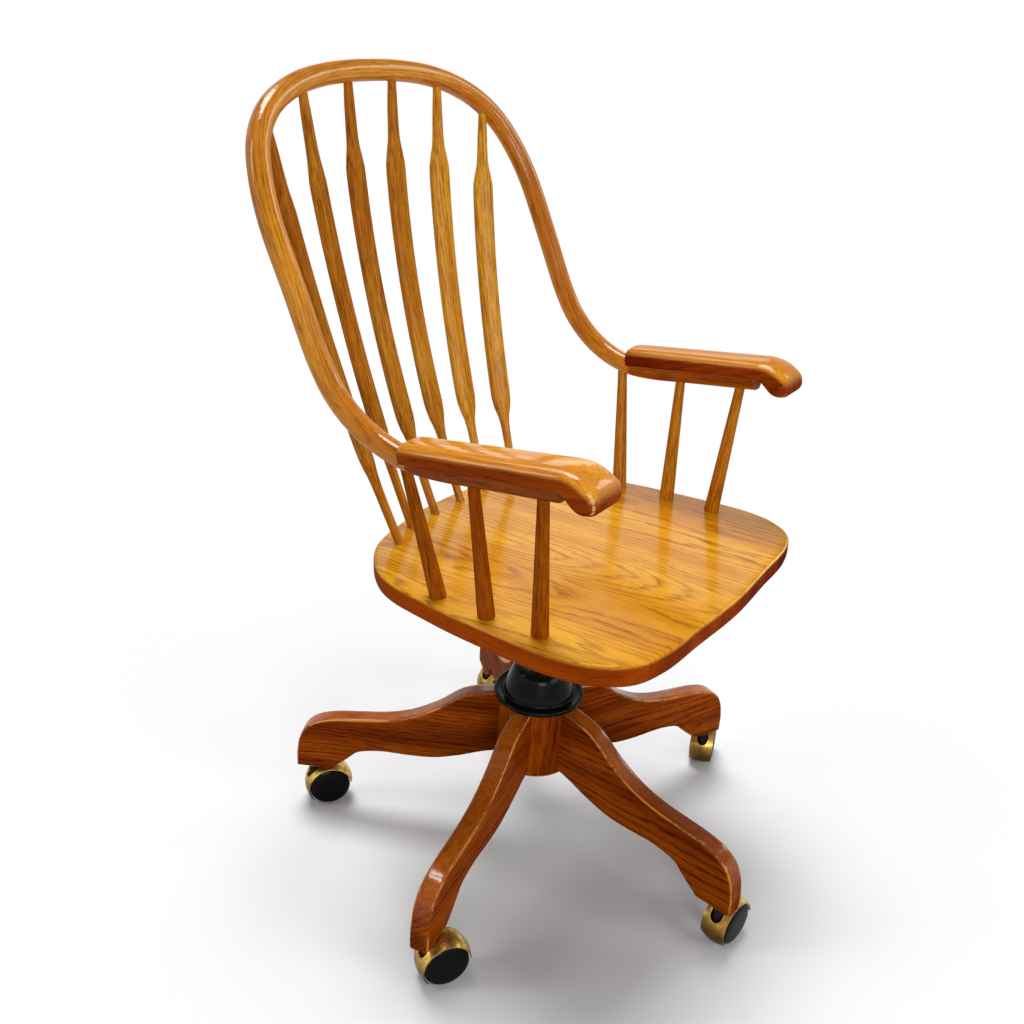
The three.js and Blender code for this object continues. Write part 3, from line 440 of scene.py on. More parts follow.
# Brass is browner towards the floor as painted shade, and tarnished in specks
metals = {
    "brass": {
        "bright": (238, 200, 100), "dull": (164, 122, 52), "rough": 0.26, "metallic": 0.92, "dust": 0.12,
        "scratch": 0.12, "low": (92, 56, 20),
    },
    "steel": {
        "bright": (168, 170, 174), "dull": (120, 121, 124), "rough": 0.28, "metallic": 1.0, "dust": 0.2,
        "scratch": 0.2,
    },
    "castIron": {
        "bright": (34, 34, 35), "dull": (20, 20, 21), "rough": 0.5, "metallic": 0.25, "dust": 0.2,
        "scratch": 0.5,
    },
}
metalLook = {
    "patchScale": (70, 70, 70), "patchRange": (0.36, 0.68), "patchRough": 0.18, "scratchDepth": 0.0002,
    "scratchScale": (1500, 1500, 260), "speckScale": (260, 260, 260), "speckRange": (0.5, 0.66, 0, 0.6),
    "lowShadeRange": (0.02, 0.058, 0.95, 0), "dust": (150, 140, 122), "dustRough": 0.4, "dustMetallic": -0.8,
}


def makeMetal(name, metal):
    material, tree = newMaterial(name)
    look = metalLook
    place = objectPlace(tree)
    patches = remap(noise(place, look["patchScale"], 5, 0.6), *look["patchRange"])
    colour = blendColour(patches, linear(*metal["bright"]), linear(*metal["dull"]))
    # Painted shade: browner towards the floor; the specks are tarnish
    if "low" in metal:
        specks = remap(noise(place, look["speckScale"], 3, 0.6), *look["speckRange"])
        tarnishAndShade = maths("MAXIMUM", specks, remap(partsOf(place)[2], *look["lowShadeRange"]))
        colour = blendColour(tarnishAndShade, colour, linear(*metal["low"]))
    dust = dusty(place, metal["dust"])
    rough = timesPlus(patches, look["patchRough"], metal["rough"])
    scratches = noise(place, look["scratchScale"])
    addSurface(tree, addNode(tree, "BsdfPrincipled", {
        "Base Color": blendColour(dust, colour, linear(*look["dust"])),
        "Roughness": timesPlus(dust, look["dustRough"], rough),
        "Metallic": timesPlus(dust, look["dustMetallic"] * metal["metallic"], metal["metallic"]),
        "Specular IOR Level": 0.5 * metal["metallic"],
        "Normal": addBump(scratches, metal["scratch"], look["scratchDepth"]),
    }))
    return material


plastics = {
    "blackPlastic": {"shade": (2, 4, 2), "rough": 0.2, "coat": 0.10, "dust": 0.012, "texture": 0.03},
    "wheelPlastic": {"shade": (8, 8, 6), "rough": 0.3, "coat": 0.10, "dust": 0.02, "texture": 0.06},
}
# The edge colour is a painted highlight on rounded edges
plasticLook = {
    "scuffScale": (240, 240, 90), "scuffRange": (0.52, 0.75), "scuff": (34, 34, 35), "scuffShare": 0.12,
    "scuffRough": 0.16, "pebbleScale": (1300, 1300, 1300), "pebbleDepth": 0.0002, "edge": (58, 66, 62),
    "edgeSheenShare": 0.14, "dust": (120, 116, 108), "dustRough": 0.35, "coatRough": 0.06, "specular": 0.04,
}


def makePlastic(name, plastic):
    material, tree = newMaterial(name)
    look = plasticLook
    place = objectPlace(tree)
    scuffs = remap(noise(place, look["scuffScale"], 5, 0.7), *look["scuffRange"])
    # Dust; on upward faces it is partly a painted reflection of the ceiling
    dust = dusty(place, plastic["dust"])
    colour = linear(*plastic["shade"])
    # Scuffs, a painted highlight on rounded edges, and dust go over the colour
    for share, shade in (
        (times(scuffs, look["scuffShare"]), "scuff"),
        (times(attribute(tree, "edge"), look["edgeSheenShare"]), "edge"), (dust, "dust"),
    ):
        colour = blendColour(share, colour, linear(*look[shade]))
    rough = timesPlus(scuffs, look["scuffRough"], plastic["rough"])
    pebble = noise(place, look["pebbleScale"], 1)
    addSurface(tree, addNode(tree, "BsdfPrincipled", {
        "Base Color": colour, "Roughness": timesPlus(dust, look["dustRough"], rough),
        "Coat Weight": plastic["coat"], "Coat Roughness": look["coatRough"],
        "Specular IOR Level": look["specular"],
        "Normal": addBump(pebble, plastic["texture"], look["pebbleDepth"]),
    }))
    return material


finish = {name: makeOak(name, {**oakCommon, **look}) for name, look in oakFinishes.items()}
finish.update({name: makeMetal(name, metal) for name, metal in metals.items()})
finish.update({name: makePlastic(name, plastic) for name, plastic in plastics.items()})
print("finishes made")


# Floor and background

def seenDirectly(tree):
    # Camera, mirror and glass rays
    path = addNode(tree, "LightPath").outputs
    seen = plus(path["Is Camera Ray"], path["Is Glossy Ray"])
    return maths("MINIMUM", plus(seen, path["Is Transmission Ray"]), 1)


floorLook = {"size": 14, "shade": (230, 231, 232), "bounce": (150, 150, 150), "fade": (0.35, 1.1)}


def makeStage():
    scene.world = bpy.data.worlds.new("studio")
    tree = emptyTree(scene.world)
    height = partsOf(addNode(tree, "TexCoord").outputs["Generated"])[2]
    seen = remap(height, light["whiteTo"], light["ceilingFrom"], 1, light["ceilingStrength"])
    extra = minus(seen, light["skyStrength"])
    strength = timesPlus(seenDirectly(tree), extra, light["skyStrength"])
    sky = addNode(tree, "Background", {"Color": (1, 1, 1, 1), "Strength": strength})
    tree.links.new(sky.outputs[0], addNode(tree, "OutputWorld").inputs[0])

    material, tree = newMaterial("paleFloor")
    distance = vectorMaths("LENGTH", objectPlace(tree))["Value"]
    seen = seenDirectly(tree)
    fade = times(remap(distance, *floorLook["fade"]), seen)
    shade = blendColour(seen, linear(*floorLook["bounce"]), linear(*floorLook["shade"]))
    matt = addNode(tree, "BsdfDiffuse", {"Color": shade})
    white = addNode(tree, "Emission", {"Color": (1, 1, 1, 1), "Strength": 1})
    addSurface(tree, addNode(tree, "MixShader", {0: fade, 1: matt.outputs[0], 2: white.outputs[0]}))

    bm = bmesh.new()
    bmesh.ops.create_grid(bm, x_segments=1, y_segments=1, size=floorLook["size"] / 2)
    floor = addObject("floor", meshFrom(bm, "floor"))
    floor.data.materials.append(material)


# Modelling helpers

def clamp(value, low=0, high=1):
    return min(max(value, low), high)


def curvePoints(points, steps, closed=False):
    # Smooth curve through the points, the same kind as in the part's source
    count = len(points)
    curve = []
    for i in range(count if closed else count - 1):
        start, end = points[i], points[(i + 1) % count]
        before = points[i - 1] if closed or i > 0 else 2 * start - end
        after = points[(i + 2) % count] if closed or i + 2 < count else 2 * end - start
        first, middle, last = (
            (b - a).length ** 0.5 for a, b in ((before, start), (start, end), (end, after))
        )
        leave = (start - before) / first - (end - before) / (first + middle) + (end - start) / middle
        reach = (end - start) / middle - (after - start) / (middle + last) + (after - end) / last
        leave, reach = leave * middle, reach * middle
        for step in range(steps):
            t = step / steps
            curve.append(
                start + leave * t
                + (3 * (end - start) - 2 * leave - reach) * t ** 2
                + (2 * (start - end) + leave + reach) * t ** 3
            )
    if not closed:
        curve.append(points[-1].copy())
    return curve


def bezierPoints(corners, steps):
    # Straight, quadratic or cubic line from its first corner to its last, without the first
    found = []
    for step in range(1, steps + 1):
        level = list(corners)
        while len(level) > 1:
            level = [a.lerp(b, step / steps) for a, b in zip(level, level[1:])]
        found.append(level[0])
    return found


def spacedPoints(points, spacing):
    # The same line, with even steps along it
    found = [points[0].copy()]
    left = spacing
    for a, b in zip(points, points[1:]):
        length = (b - a).length
        along = left
        while along < length:
            found.append(a.lerp(b, along / length))
            along += spacing
        left = along - length
    found.append(points[-1].copy())
    return found


def facesOf(geometry):
    return [item for item in geometry if isinstance(item, bmesh.types.BMFace)]


def vertsOf(geometry):
    return [item for item in geometry if isinstance(item, bmesh.types.BMVert)]


def squareness(turn, power):
    x, y = cos(turn), sin(turn)
    size = (abs(x) ** power + abs(y) ** power) ** (1 / power)
    return x / size, y / size


def barStation(centre, tangent, across, along, halfWidth, halfThickness, square, edge, trim=None):
    # One ring of a bar; its way across is turned square to its way along
    across = (across - tangent * across.dot(tangent)).normalized()
    return {
        "centre": centre, "across": across, "thick": across.cross(tangent), "along": along,
        "halfWidth": halfWidth, "halfThickness": halfThickness, "square": square, "edge": edge,
        "trim": trim,
    }


def sweptBar(stations, sides, offset, slant=0):
    bm = bmesh.new()
    turnLayer = bm.verts.layers.float.new("turn")
    edgeLayer = bm.verts.layers.float.new("edge")
    grainLayer = bm.verts.layers.float_vector.new("grain")
    ring = bmesh.ops.create_circle(bm, cap_ends=True, segments=sides, radius=1)["verts"]
    for vert in ring:
        vert[turnLayer] = atan2(vert.co.y, vert.co.x)
    end = bm.faces[:]
    for number, station in enumerate(stations):
        if number:
            grown = bmesh.ops.extrude_face_region(bm, geom=end)["geom"]
            ring, end = vertsOf(grown), facesOf(grown)
        for vert in ring:
            x, y = squareness(vert[turnLayer], station["square"])
            x, y = x * station["halfWidth"], y * station["halfThickness"]
            vert.co = station["centre"] + station["across"] * x + station["thick"] * y
            if station["trim"]:
                vert.co = station["trim"](vert.co)
            inBoard = Vector((x + slant * station["along"], y, station["along"]))
            vert[grainLayer] = inBoard * mm + Vector(offset)
            vert[edgeLayer] = station["edge"]
    bm.verts.layers.float.remove(turnLayer)
    return bm


# Edge wear where a side meets its rounding, as a share of the arris's, and distances that weld
sideWear = 0.35
weld = {"slab": 0.01, "spun": 0.005}


def slabHalf(outline, half, rim, rings, band, wall):
    # Upper half of a slab on z = 0; its rim is how far it goes in and comes down, and its edge wear
    inset, drop, worn = rim
    bm = bmesh.new()
    edgeLayer = bm.verts.layers.float.new("edge")
    ring = bmesh.ops.create_circle(bm, cap_ends=True, segments=len(outline), radius=1)["verts"]
    for vert, point in zip(ring, outline):
        vert.co = (point[0], point[1], 0)
    top = first = bm.faces[:][0]
    first.normal_update()
    if first.normal.z < 0:
        first.normal_flip()
    level = 0
    for height, edge in (*wall, (half - drop, sideWear * worn)):
        grown = bmesh.ops.extrude_face_region(bm, geom=[top])["geom"]
        top = facesOf(grown)[0]
        bmesh.ops.translate(bm, verts=vertsOf(grown), vec=(0, 0, height - level))
        for vert in top.verts:
            vert[edgeLayer] = edge
        level = height
    if first.is_valid:
        bmesh.ops.delete(bm, geom=[first], context="FACES_ONLY")
    top.normal_update()
    if top.normal.z < 0:
        top.normal_flip()
    for number in range(1, rings + 1):
        last, turn = (pi / 2 * step / rings for step in (number - 1, number))
        bmesh.ops.inset_region(
            bm, faces=[top], thickness=inset * (cos(last) - cos(turn)),
            depth=drop * (sin(turn) - sin(last)), use_even_offset=True,
        )
        for vert in top.verts:
            vert[edgeLayer] = worn * (sideWear + (1 - sideWear) * sin(2 * turn))
    bmesh.ops.inset_region(bm, faces=[top], thickness=band, depth=0, use_even_offset=True)
    for vert in top.verts:
        vert[edgeLayer] = 0
    return bm


def joined(first, others):
    # Several shapes in one mesh
    for other in others:
        mesh = meshFrom(other, "joined")
        first.from_mesh(mesh)
        bpy.data.meshes.remove(mesh)
    return first


def roundedSlab(outline, piece, thickness):
    # Outline lies in X and Y; the slab is even about z = 0
    bm, under = (
        slabHalf(outline, thickness / 2, piece[rim], piece["edgeRings"], piece["band"], piece["wall"])
        for rim in ("upperRim", "lowerRim")
    )
    bmesh.ops.scale(under, vec=(1, 1, -1), verts=under.verts)
    joined(bm, [under])
    bmesh.ops.remove_doubles(bm, verts=bm.verts, dist=weld["slab"])
    return bm


def spunShape(profile, sides):
    # Profile of (radius, height) or (radius, height, edge), from the axis or closed on itself
    bm = bmesh.new()
    edgeLayer = bm.verts.layers.float.new("edge")
    verts = []
    for radius, height, *edge in profile:
        vert = bm.verts.new((radius, 0, height))
        vert[edgeLayer] = edge[0] if edge else 0
        verts.append(vert)
    pairs = list(zip(verts, verts[1:]))
    if profile[0][0] > 0:
        pairs.append((verts[-1], verts[0]))
    edges = [bm.edges.new(pair) for pair in pairs]
    bmesh.ops.spin(
        bm, geom=verts + edges, cent=(0, 0, 0), axis=(0, 0, 1), angle=2 * pi, steps=sides,
        use_merge=True, use_duplicate=False,
    )
    bmesh.ops.remove_doubles(bm, verts=bm.verts, dist=weld["spun"])
    return bm


# Steps in a rounded corner of a spun profile, and edge wear at its two ends
arcSteps = 4
arcEndWear = 0.2


def roundedCorners(profile):
    # Profile corners of (radius, height, round) become small arcs; edge wear is strongest on them
    found = []
    for i, (radius, height, size) in enumerate(profile):
        corner = Vector((radius, height))
        if size == 0:
            found.append((radius, height, 0))
            continue
        before, after = (
            corner + (Vector(profile[j % len(profile)][:2]) - corner).normalized() * size
            for j in (i - 1, i + 1)
        )
        found.append((*before, arcEndWear))
        found += [(*point, 1) for point in bezierPoints([before, corner, after], arcSteps)[:-1]]
        found.append((*after, arcEndWear))
    return found


def paintGrain(bm, axes, offset):
    # Place of each point in its board, in metres: two axes across the board, then one along it
    layer = bm.verts.layers.float_vector.new("grain")
    for vert in bm.verts:
        vert[layer] = Vector([vert.co[axis] for axis in axes]) * mm + Vector(offset)


def paintStainAndShade(bm, stainAndShadeAt):
    # How far the finish is deeper and duller at each point, as real stain and as painted shade
    layer = bm.verts.layers.float.new("stainAndShade")
    for vert in bm.verts:
        vert[layer] = stainAndShadeAt(vert.co)


def finishPiece(bm, name, look, body, replaced, place=None, sharp=50, stainAndShade=0):
    if place is not None:
        bmesh.ops.transform(bm, matrix=place, verts=bm.verts)
    bmesh.ops.recalc_face_normals(bm, faces=bm.faces)
    bmesh.ops.transform(bm, matrix=chairPlace, verts=bm.verts)
    # An even amount of stain and painted shade over the whole piece
    if stainAndShade:
        paintStainAndShade(bm, lambda co: stainAndShade)
    mesh = meshFrom(bm, name)
    mesh.polygons.foreach_set("use_smooth", [True] * len(mesh.polygons))
    mesh.set_sharp_from_angle(angle=radians(sharp))
    mesh.materials.append(finish[look])
    piece = addObject(name, mesh)
    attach(piece, body)
    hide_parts(replaced)


# Seat

seat = {
    "height": 465, "pitch": radians(2.3), "halfWidth": 247, "depth": 455, "front": 262,
    "thickness": 29, "upperRim": (4.2, 5, 1), "lowerRim": (9, 12, 0.3), "edgeRings": 7, "band": 7,
    # Painted shade on the front edge: its strength, and where across it starts and is full
    "wall": (), "curveSteps": 11, "grainPlace": (0.03, 0, 0), "shade": 0.75, "paintedShadeFrom": -150,
    "paintedShadeTo": 170,
    # Edge wear, partly a painted highlight along the top arris, growing towards the sitter's left: its share
    # in the middle, the way across that adds one whole, and the least
    "wear": (0.93, 1500, 0.82),
    # Right half of the outline: across from the middle, and back from the front edge
    "outline": [
        (0, 0), (0.36, 0.01), (0.66, 0.02), (0.83, 0.05), (0.94, 0.12), (0.992, 0.22),
        (0.98, 0.44), (0.942, 0.62), (0.855, 0.81), (0.626, 0.935), (0.31, 0.985), (0, 1),
    ],
}


def seatPoint(across, back):
    return Vector((seat["halfWidth"] * across, seat["depth"] * back - seat["front"], 0))


def makeSeat():
    right = [seatPoint(*share) for share in seat["outline"]]
    left = [Vector((-point.x, point.y, 0)) for point in right[-2:0:-1]]
    half = seat["thickness"] / 2
    bm = roundedSlab(curvePoints(right + left, seat["curveSteps"], closed=True), seat, seat["thickness"])
    edgeLayer = bm.verts.layers.float["edge"]
    middleWearAndSheen, wearAndSheenRun, leastWear = seat["wear"]
    # Wear and painted highlight on the top arris grow towards the sitter's left
    for vert in bm.verts:
        vert[edgeLayer] *= clamp(middleWearAndSheen + vert.co.x / wearAndSheenRun, leastWear)
    paintGrain(bm, (0, 2, 1), seat["grainPlace"])

    def paintedSideShade(co):
        # Painted shade: the front edge is darker and browner towards the sitter's left, below the top
        # rounding
        below = clamp((half - co.z) / seat["upperRim"][1])
        leftward = clamp((co.x - seat["paintedShadeFrom"]) / (seat["paintedShadeTo"] - seat["paintedShadeFrom"]))
        return seat["shade"] * below * leftward if co.y <= 0 else 0

    paintStainAndShade(bm, paintedSideShade)
    place = moved(0, 0, seat["height"]) @ spun(-seat["pitch"], "X") @ moved(0, 0, -half)
    finishPiece(bm, "seatPlank", "seatOak", "seat_frame", "seat", place)


# Bow, caps and sticks

bow = {
    "radius": 12.95, "squareness": 2.2, "armHalfSpan": 239.5, "armHeight": 637,
    "armPitch": radians(7.9), "armFront": 152, "armShares": (0, 0.33, 0.66), "halfSpan": 249.5,
    "height": 1002.75, "rake": radians(27.8), "elbowReach": 111, "elbowRadius": 155,
    "elbowPoints": 5, "hollow": 3.6, "curveSteps": 12, "spacing": 8, "sides": 28,
    # Rings of a rounded end: how far in, and how large
    "endRings": [(0, 0.8), (0.6, 0.92), (2.5, 1)], "endWear": 0.8,
    "paintedArmShade": 0.8, "grainPlace": (0.21, 0.01, 0),
    # Right half of the arch: across, up the raked plane from the elbow, and forward of it
    "arch": [
        (1, 0.45, 0.6), (0.997, 0.627, 1), (0.964, 0.731, 1), (0.893, 0.828, 0.72), (0.768, 0.904, 0.36),
        (0.595, 0.955, 0), (0.398, 0.984, -0.3), (0.192, 0.997, -0.3), (0, 1, -0.2),
    ],
}


def armPoint(y):
    return Vector((bow["armHalfSpan"], y, bow["armHeight"] - tan(bow["armPitch"]) * y))


backUp = Vector((0, sin(bow["rake"]), cos(bow["rake"])))
armBack = Vector((0, cos(bow["armPitch"]), -sin(bow["armPitch"])))
armUp = Vector((0, -armBack.z, armBack.y))
elbowCorner = armPoint(bow["elbowReach"])
elbowTurn = pi / 2 + bow["armPitch"] - bow["rake"]
elbowTangent = bow["elbowRadius"] * tan(elbowTurn / 2)
hoopRise = (bow["height"] - elbowCorner.z) / backUp.z
# Caps lie on the bow only below this height
armZoneTop = bow["armHeight"] + bow["radius"] * 4


def armPlace(side):
    return moved(side * bow["armHalfSpan"], 0, bow["armHeight"]) @ spun(-bow["armPitch"], "X")


def elbowPoint(share):
    turn = elbowTurn * share
    point = elbowCorner - armBack * elbowTangent + armBack * bow["elbowRadius"] * sin(turn)
    point += armUp * bow["elbowRadius"] * (1 - cos(turn))
    widened = share * share * (3 - 2 * share)
    point.x = bow["armHalfSpan"] + (bow["halfSpan"] - bow["armHalfSpan"]) * widened
    return point


def halfBowPoints():
    arcStart = elbowCorner.y - elbowTangent * armBack.y
    armFront = -bow["armFront"]
    points = [armPoint(armFront + (arcStart - armFront) * share) for share in bow["armShares"]]
    points += [elbowPoint(i / bow["elbowPoints"]) for i in range(bow["elbowPoints"] + 1)]
    for across, up, forward in bow["arch"]:
        point = elbowCorner + backUp * hoopRise * up
        point.x = bow["halfSpan"] * across
        point.y -= bow["hollow"] * forward
        points.append(point)
    return points


def archPointAt(across):
    points = halfBowPoints()
    following = next(i for i, point in enumerate(points) if i > len(points) / 2 and point.x <= across)
    start, end = points[following - 1], points[following]
    return start.lerp(end, (start.x - across) / (start.x - end.x))


# Side outline in shares of the way back from the nose, and of the top or drop from the bow's middle
cap = {
    "rear": 39.5, "length": 245, "bottom": 6.2, "top": 31, "noseDrop": 14.5, "outerReach": 29,
    "rearWidth": 47, "frontWidth": 61, "upperRim": (8, 10, 1), "lowerRim": (8, 10, 1), "edgeRings": 7,
    "band": 1, "wall": ((4, 0), (8, 0), (11, 0)), "gap": 0.3, "rearRound": 11, "dome": 3.4,
    "domeOver": 10, "wornFrom": 0.76, "wornOver": 0.06, "leastWear": 0.3,
    # How much deeper each cap's finish is, weaker on its top: partly stain and partly painted shade
    "stainsAndShade": {"right": 0, "left": 0.45},
    "grainPlaces": {"right": (-0.09, 0.02, 0.5), "left": (0.09, 0.02, 1.1)},
    "start": (0.19, 1),
    "noseTop": [(0.08, 1), (0, 0.48), (0, -0.1)],
    "noseTip": [(0, -1), (0.06, -1)],
    "noseUnder": [(0.13, -1), (0.14, 0), (0.205, 0)],
    "lineSteps": {"rear": 4, "top": 8, "noseTop": 14, "noseTip": 8, "noseUnder": 12, "under": 8},
}


def makeBow():
    right = halfBowPoints()
    left = [Vector((-point.x, point.y, point.z)) for point in right[-2::-1]]
    path = spacedPoints(curvePoints(right + left, bow["curveSteps"]), bow["spacing"])
    flatTop, flatRear = cap["bottom"] - cap["gap"], cap["rear"] + cap["gap"]
    places = {side: armPlace(side) for side in (1, -1)}
    inverse = {side: place.inverted() for side, place in places.items()}
    stations = []
    along = 0

    def flattened(side):
        # The bow is let flat into the cap
        def trim(co):
            local = inverse[side] @ co
            local.z = min(local.z, flatTop)
            return places[side] @ local
        return trim

    def addStation(centre, tangent, trim, size=1, edge=0):
        across = stations[-1]["across"] if stations else Vector((1, 0, 0))
        radius = bow["radius"] * size
        stations.append(barStation(
            centre, tangent, across, along, radius, radius, bow["squareness"], edge, trim,
        ))

    trims = {side: flattened(side) for side in (1, -1)}
    tangent = (path[1] - path[0]).normalized()
    for inward, size in bow["endRings"]:
        addStation(path[0] + tangent * inward, tangent, trims[1], size, bow["endWear"])
    for last, here, following in zip(path, path[1:], path[2:]):
        side = 1 if here.x > 0 else -1
        tangent = (following - last).normalized()
        along += (here - last).length
        nearBack, farBack = ((inverse[side] @ point).y for point in (here, following))
        onArm = here.z < armZoneTop
        addStation(here, tangent, trims[side] if onArm and nearBack < flatRear else None)
        if onArm and (nearBack - flatRear) * (farBack - flatRear) < 0:
            step = here.lerp(following, (flatRear - nearBack) / (farBack - nearBack))
            for flat in ((True, False) if farBack > nearBack else (False, True)):
                addStation(step, tangent, trims[side] if flat else None)
    tangent = (path[-1] - path[-2]).normalized()
    along += bow["spacing"]
    for inward, size in reversed(bow["endRings"]):
        addStation(path[-1] - tangent * inward, tangent, trims[-1], size, bow["endWear"])
    bm = sweptBar(stations, bow["sides"], bow["grainPlace"])

    # Painted shade: the bow is darker where it runs under the caps
    def paintedShadeUnderCap(co):
        behind = (inverse[1 if co.x > 0 else -1] @ co).y
        return bow["paintedArmShade"] if behind < flatRear - 1 and co.z < armZoneTop else 0

    paintStainAndShade(bm, paintedShadeUnderCap)
    finishPiece(bm, "backBow", "frameOak", "seat_frame", "back_bow")


def capPoint(back, up):
    rise = cap["noseDrop"] if up < 0 else cap["top"]
    return Vector((cap["rear"] - cap["length"] * (1 - back), rise * up))


def capOutline():
    corner = Vector((cap["rear"], cap["top"]))
    outline = [Vector((cap["rear"], cap["bottom"])), corner - Vector((0, cap["rearRound"]))]
    lines = {name: [capPoint(*share) for share in cap[name]] for name in ("noseTop", "noseTip", "noseUnder")}
    for point in lines["noseUnder"][1:]:
        point.y = cap["bottom"]
    lines["rear"] = [corner, corner - Vector((cap["rearRound"], 0))]
    lines["top"], lines["under"] = [capPoint(*cap["start"])], outline[:1]
    for name, steps in cap["lineSteps"].items():
        outline += bezierPoints([outline[-1], *lines[name]], steps)
    return outline[:-1]


def makeCap(word, side):
    bm = roundedSlab(capOutline(), cap, cap["rearWidth"])
    edgeLayer = bm.verts.layers.float["edge"]
    for vert in bm.verts:
        back, up, across = vert.co
        forward = (cap["rear"] - back) / cap["length"]
        vert[edgeLayer] *= clamp((forward - cap["wornFrom"]) / cap["wornOver"], cap["leastWear"])
        outward = abs(across) / cap["rearWidth"] * 2
        up -= cap["dome"] * outward ** 2 * clamp((up - cap["bottom"]) / cap["domeOver"])
        width = cap["rearWidth"] + (cap["frontWidth"] - cap["rearWidth"]) * forward
        across = across / cap["rearWidth"] * width + cap["outerReach"] - width / 2
        vert.co = (side * across, back, up)
    paintGrain(bm, (0, 2, 1), cap["grainPlaces"][word])
    finishPiece(
        bm, f"armCap{word.capitalize()}", "capOak", "seat_frame", f"arm_cap_{word}", armPlace(side),
        stainAndShade=cap["stainsAndShade"][word],
    )


sticks = {
    "endRadius": 5.5, "neckRadius": 7, "width": 28, "thickness": 13.5, "splay": radians(25),
    "bend": 29, "paddleSquareness": 4, "footRadius": 10, "topRadius": 6.5, "seatDepth": 18,
    "bowStop": 2.5, "sides": 20, "smooth": 4, "nearby": 0.01, "roundEdge": 0.1, "paddleEdge": 0.5,
    # From the middle outwards: across the bow, across the seat, back along the seat, bend, and
    # turn of the flat
    "spindlePlaces": [
        (0.163, 0.113, 0.944, 1, 0.16), (0.499, 0.328, 0.938, 0.72, 0.64), (0.807, 0.523, 0.895, 0.6, 1),
    ],
    # From the back forwards: back along the arm cap, across the seat, back along the seat
    "postPlaces": [(1.04, 0.853, 0.618), (0.669, 0.877, 0.458), (0.311, 0.869, 0.304)],
    # Up the spindle: height, neck, paddle and squareness
    "spindleStations": [
        (0, 0, 0, 0), (0.1, 0.1, 0, 0), (0.16, 0.5, 0, 0.1), (0.22, 1, 0.85, 0.8), (0.26, 1, 1, 1),
        (0.4, 1, 0.98, 1), (0.56, 1, 0.96, 1), (0.7, 1, 1, 1), (0.77, 1, 1, 1), (0.81, 1, 0.75, 0.7),
        (0.86, 1, 0.1, 0.1), (0.92, 0.7, 0, 0), (0.97, 0, 0, 0),
    ],
    # Up the foot of a post: height over the seat and change of radius. Its taper ends under the bow
    "postFoot": [(0, -0.4), (1.2, 0), (3, 0)], "postSteps": 8, "postSpare": 3,
    # Deeper finish of each spindle and post, partly stain and partly painted shade; the sitter's right side
    # is darker
    "spindleStainAndShade": [0.66, 0.63, 0.61, 0.44, 0.12, 0.12], "postStainAndShade": {"right": 0.92, "left": 0.5},
    # Place in the board: start and step with each spindle; steps with each post and shift by side
    "spindleGrain": [(-0.03, 0.011), (0, 0.005), (0, 1)], "spindleSlant": 0.03,
    "postGrain": (0.012, 0.008, 2, 0.7),
}


def stickLine(foot, top, bend):
    chord = top - foot

    def pointAt(along):
        inside = clamp(along)
        slope = 0 if along == inside else 4 * bend * (1 - 2 * inside) * (along - inside)
        point = foot + chord * along
        point.y += 4 * bend * inside * (1 - inside) + slope
        return point
    return pointAt


def stickStations(pointAt, length, rings, turn=0):
    # Rings of (way along, half width, half thickness, squareness)
    across = Vector((cos(turn), -sin(turn), 0))
    stations = []
    for along, width, thickness, square in rings:
        tangent = (pointAt(along + sticks["nearby"]) - pointAt(along - sticks["nearby"])).normalized()
        edge = sticks["paddleEdge" if square > 3 else "roundEdge"]
        stations.append(barStation(
            pointAt(along), tangent, across, along * length, width, thickness, square, edge,
        ))
    return stations


def seatFoot(across, back, side):
    foot = seatPoint(across * side, back)
    foot.z = seat["height"] - tan(seat["pitch"]) * foot.y
    return foot


def makeSpindle(number):
    # Three on either side of the middle
    side = -1 if number < 4 else 1
    bowShare, across, back, bendShare, turnShare = sticks["spindlePlaces"][max(3 - number, number - 4)]
    foot = seatFoot(across, back, side)
    top = archPointAt(bow["halfSpan"] * bowShare)
    top.x *= side
    length = (top - foot).length
    end, neckRadius = sticks["endRadius"], sticks["neckRadius"]

    def ring(along, neck=0, paddle=0, square=0):
        radius = end + (neckRadius - end) * neck
        halves = (radius + (sticks[size] / 2 - neckRadius) * paddle for size in ("width", "thickness"))
        return along, *halves, 2 + (sticks["paddleSquareness"] - 2) * square

    shares = curvePoints([Vector(share) for share in sticks["spindleStations"]], sticks["smooth"])
    rings = [ring(-sticks["seatDepth"] / length)]
    rings += [
        ring(along, min(neck, 1), clamp(paddle), clamp(square)) for along, neck, paddle, square in shares
    ]
    rings.append(ring(1 - sticks["bowStop"] / length))
    line = stickLine(foot, top, sticks["bend"] * bendShare)
    stations = stickStations(line, length, rings, side * sticks["splay"] * turnShare)
    offset = [start + step * number for start, step in sticks["spindleGrain"]]
    finishPiece(
        sweptBar(stations, sticks["sides"], offset, sticks["spindleSlant"] * side), f"backSpindle{number}",
        "stickOak", "seat_frame", f"back_spindle_{number}", stainAndShade=sticks["spindleStainAndShade"][number - 1],
    )


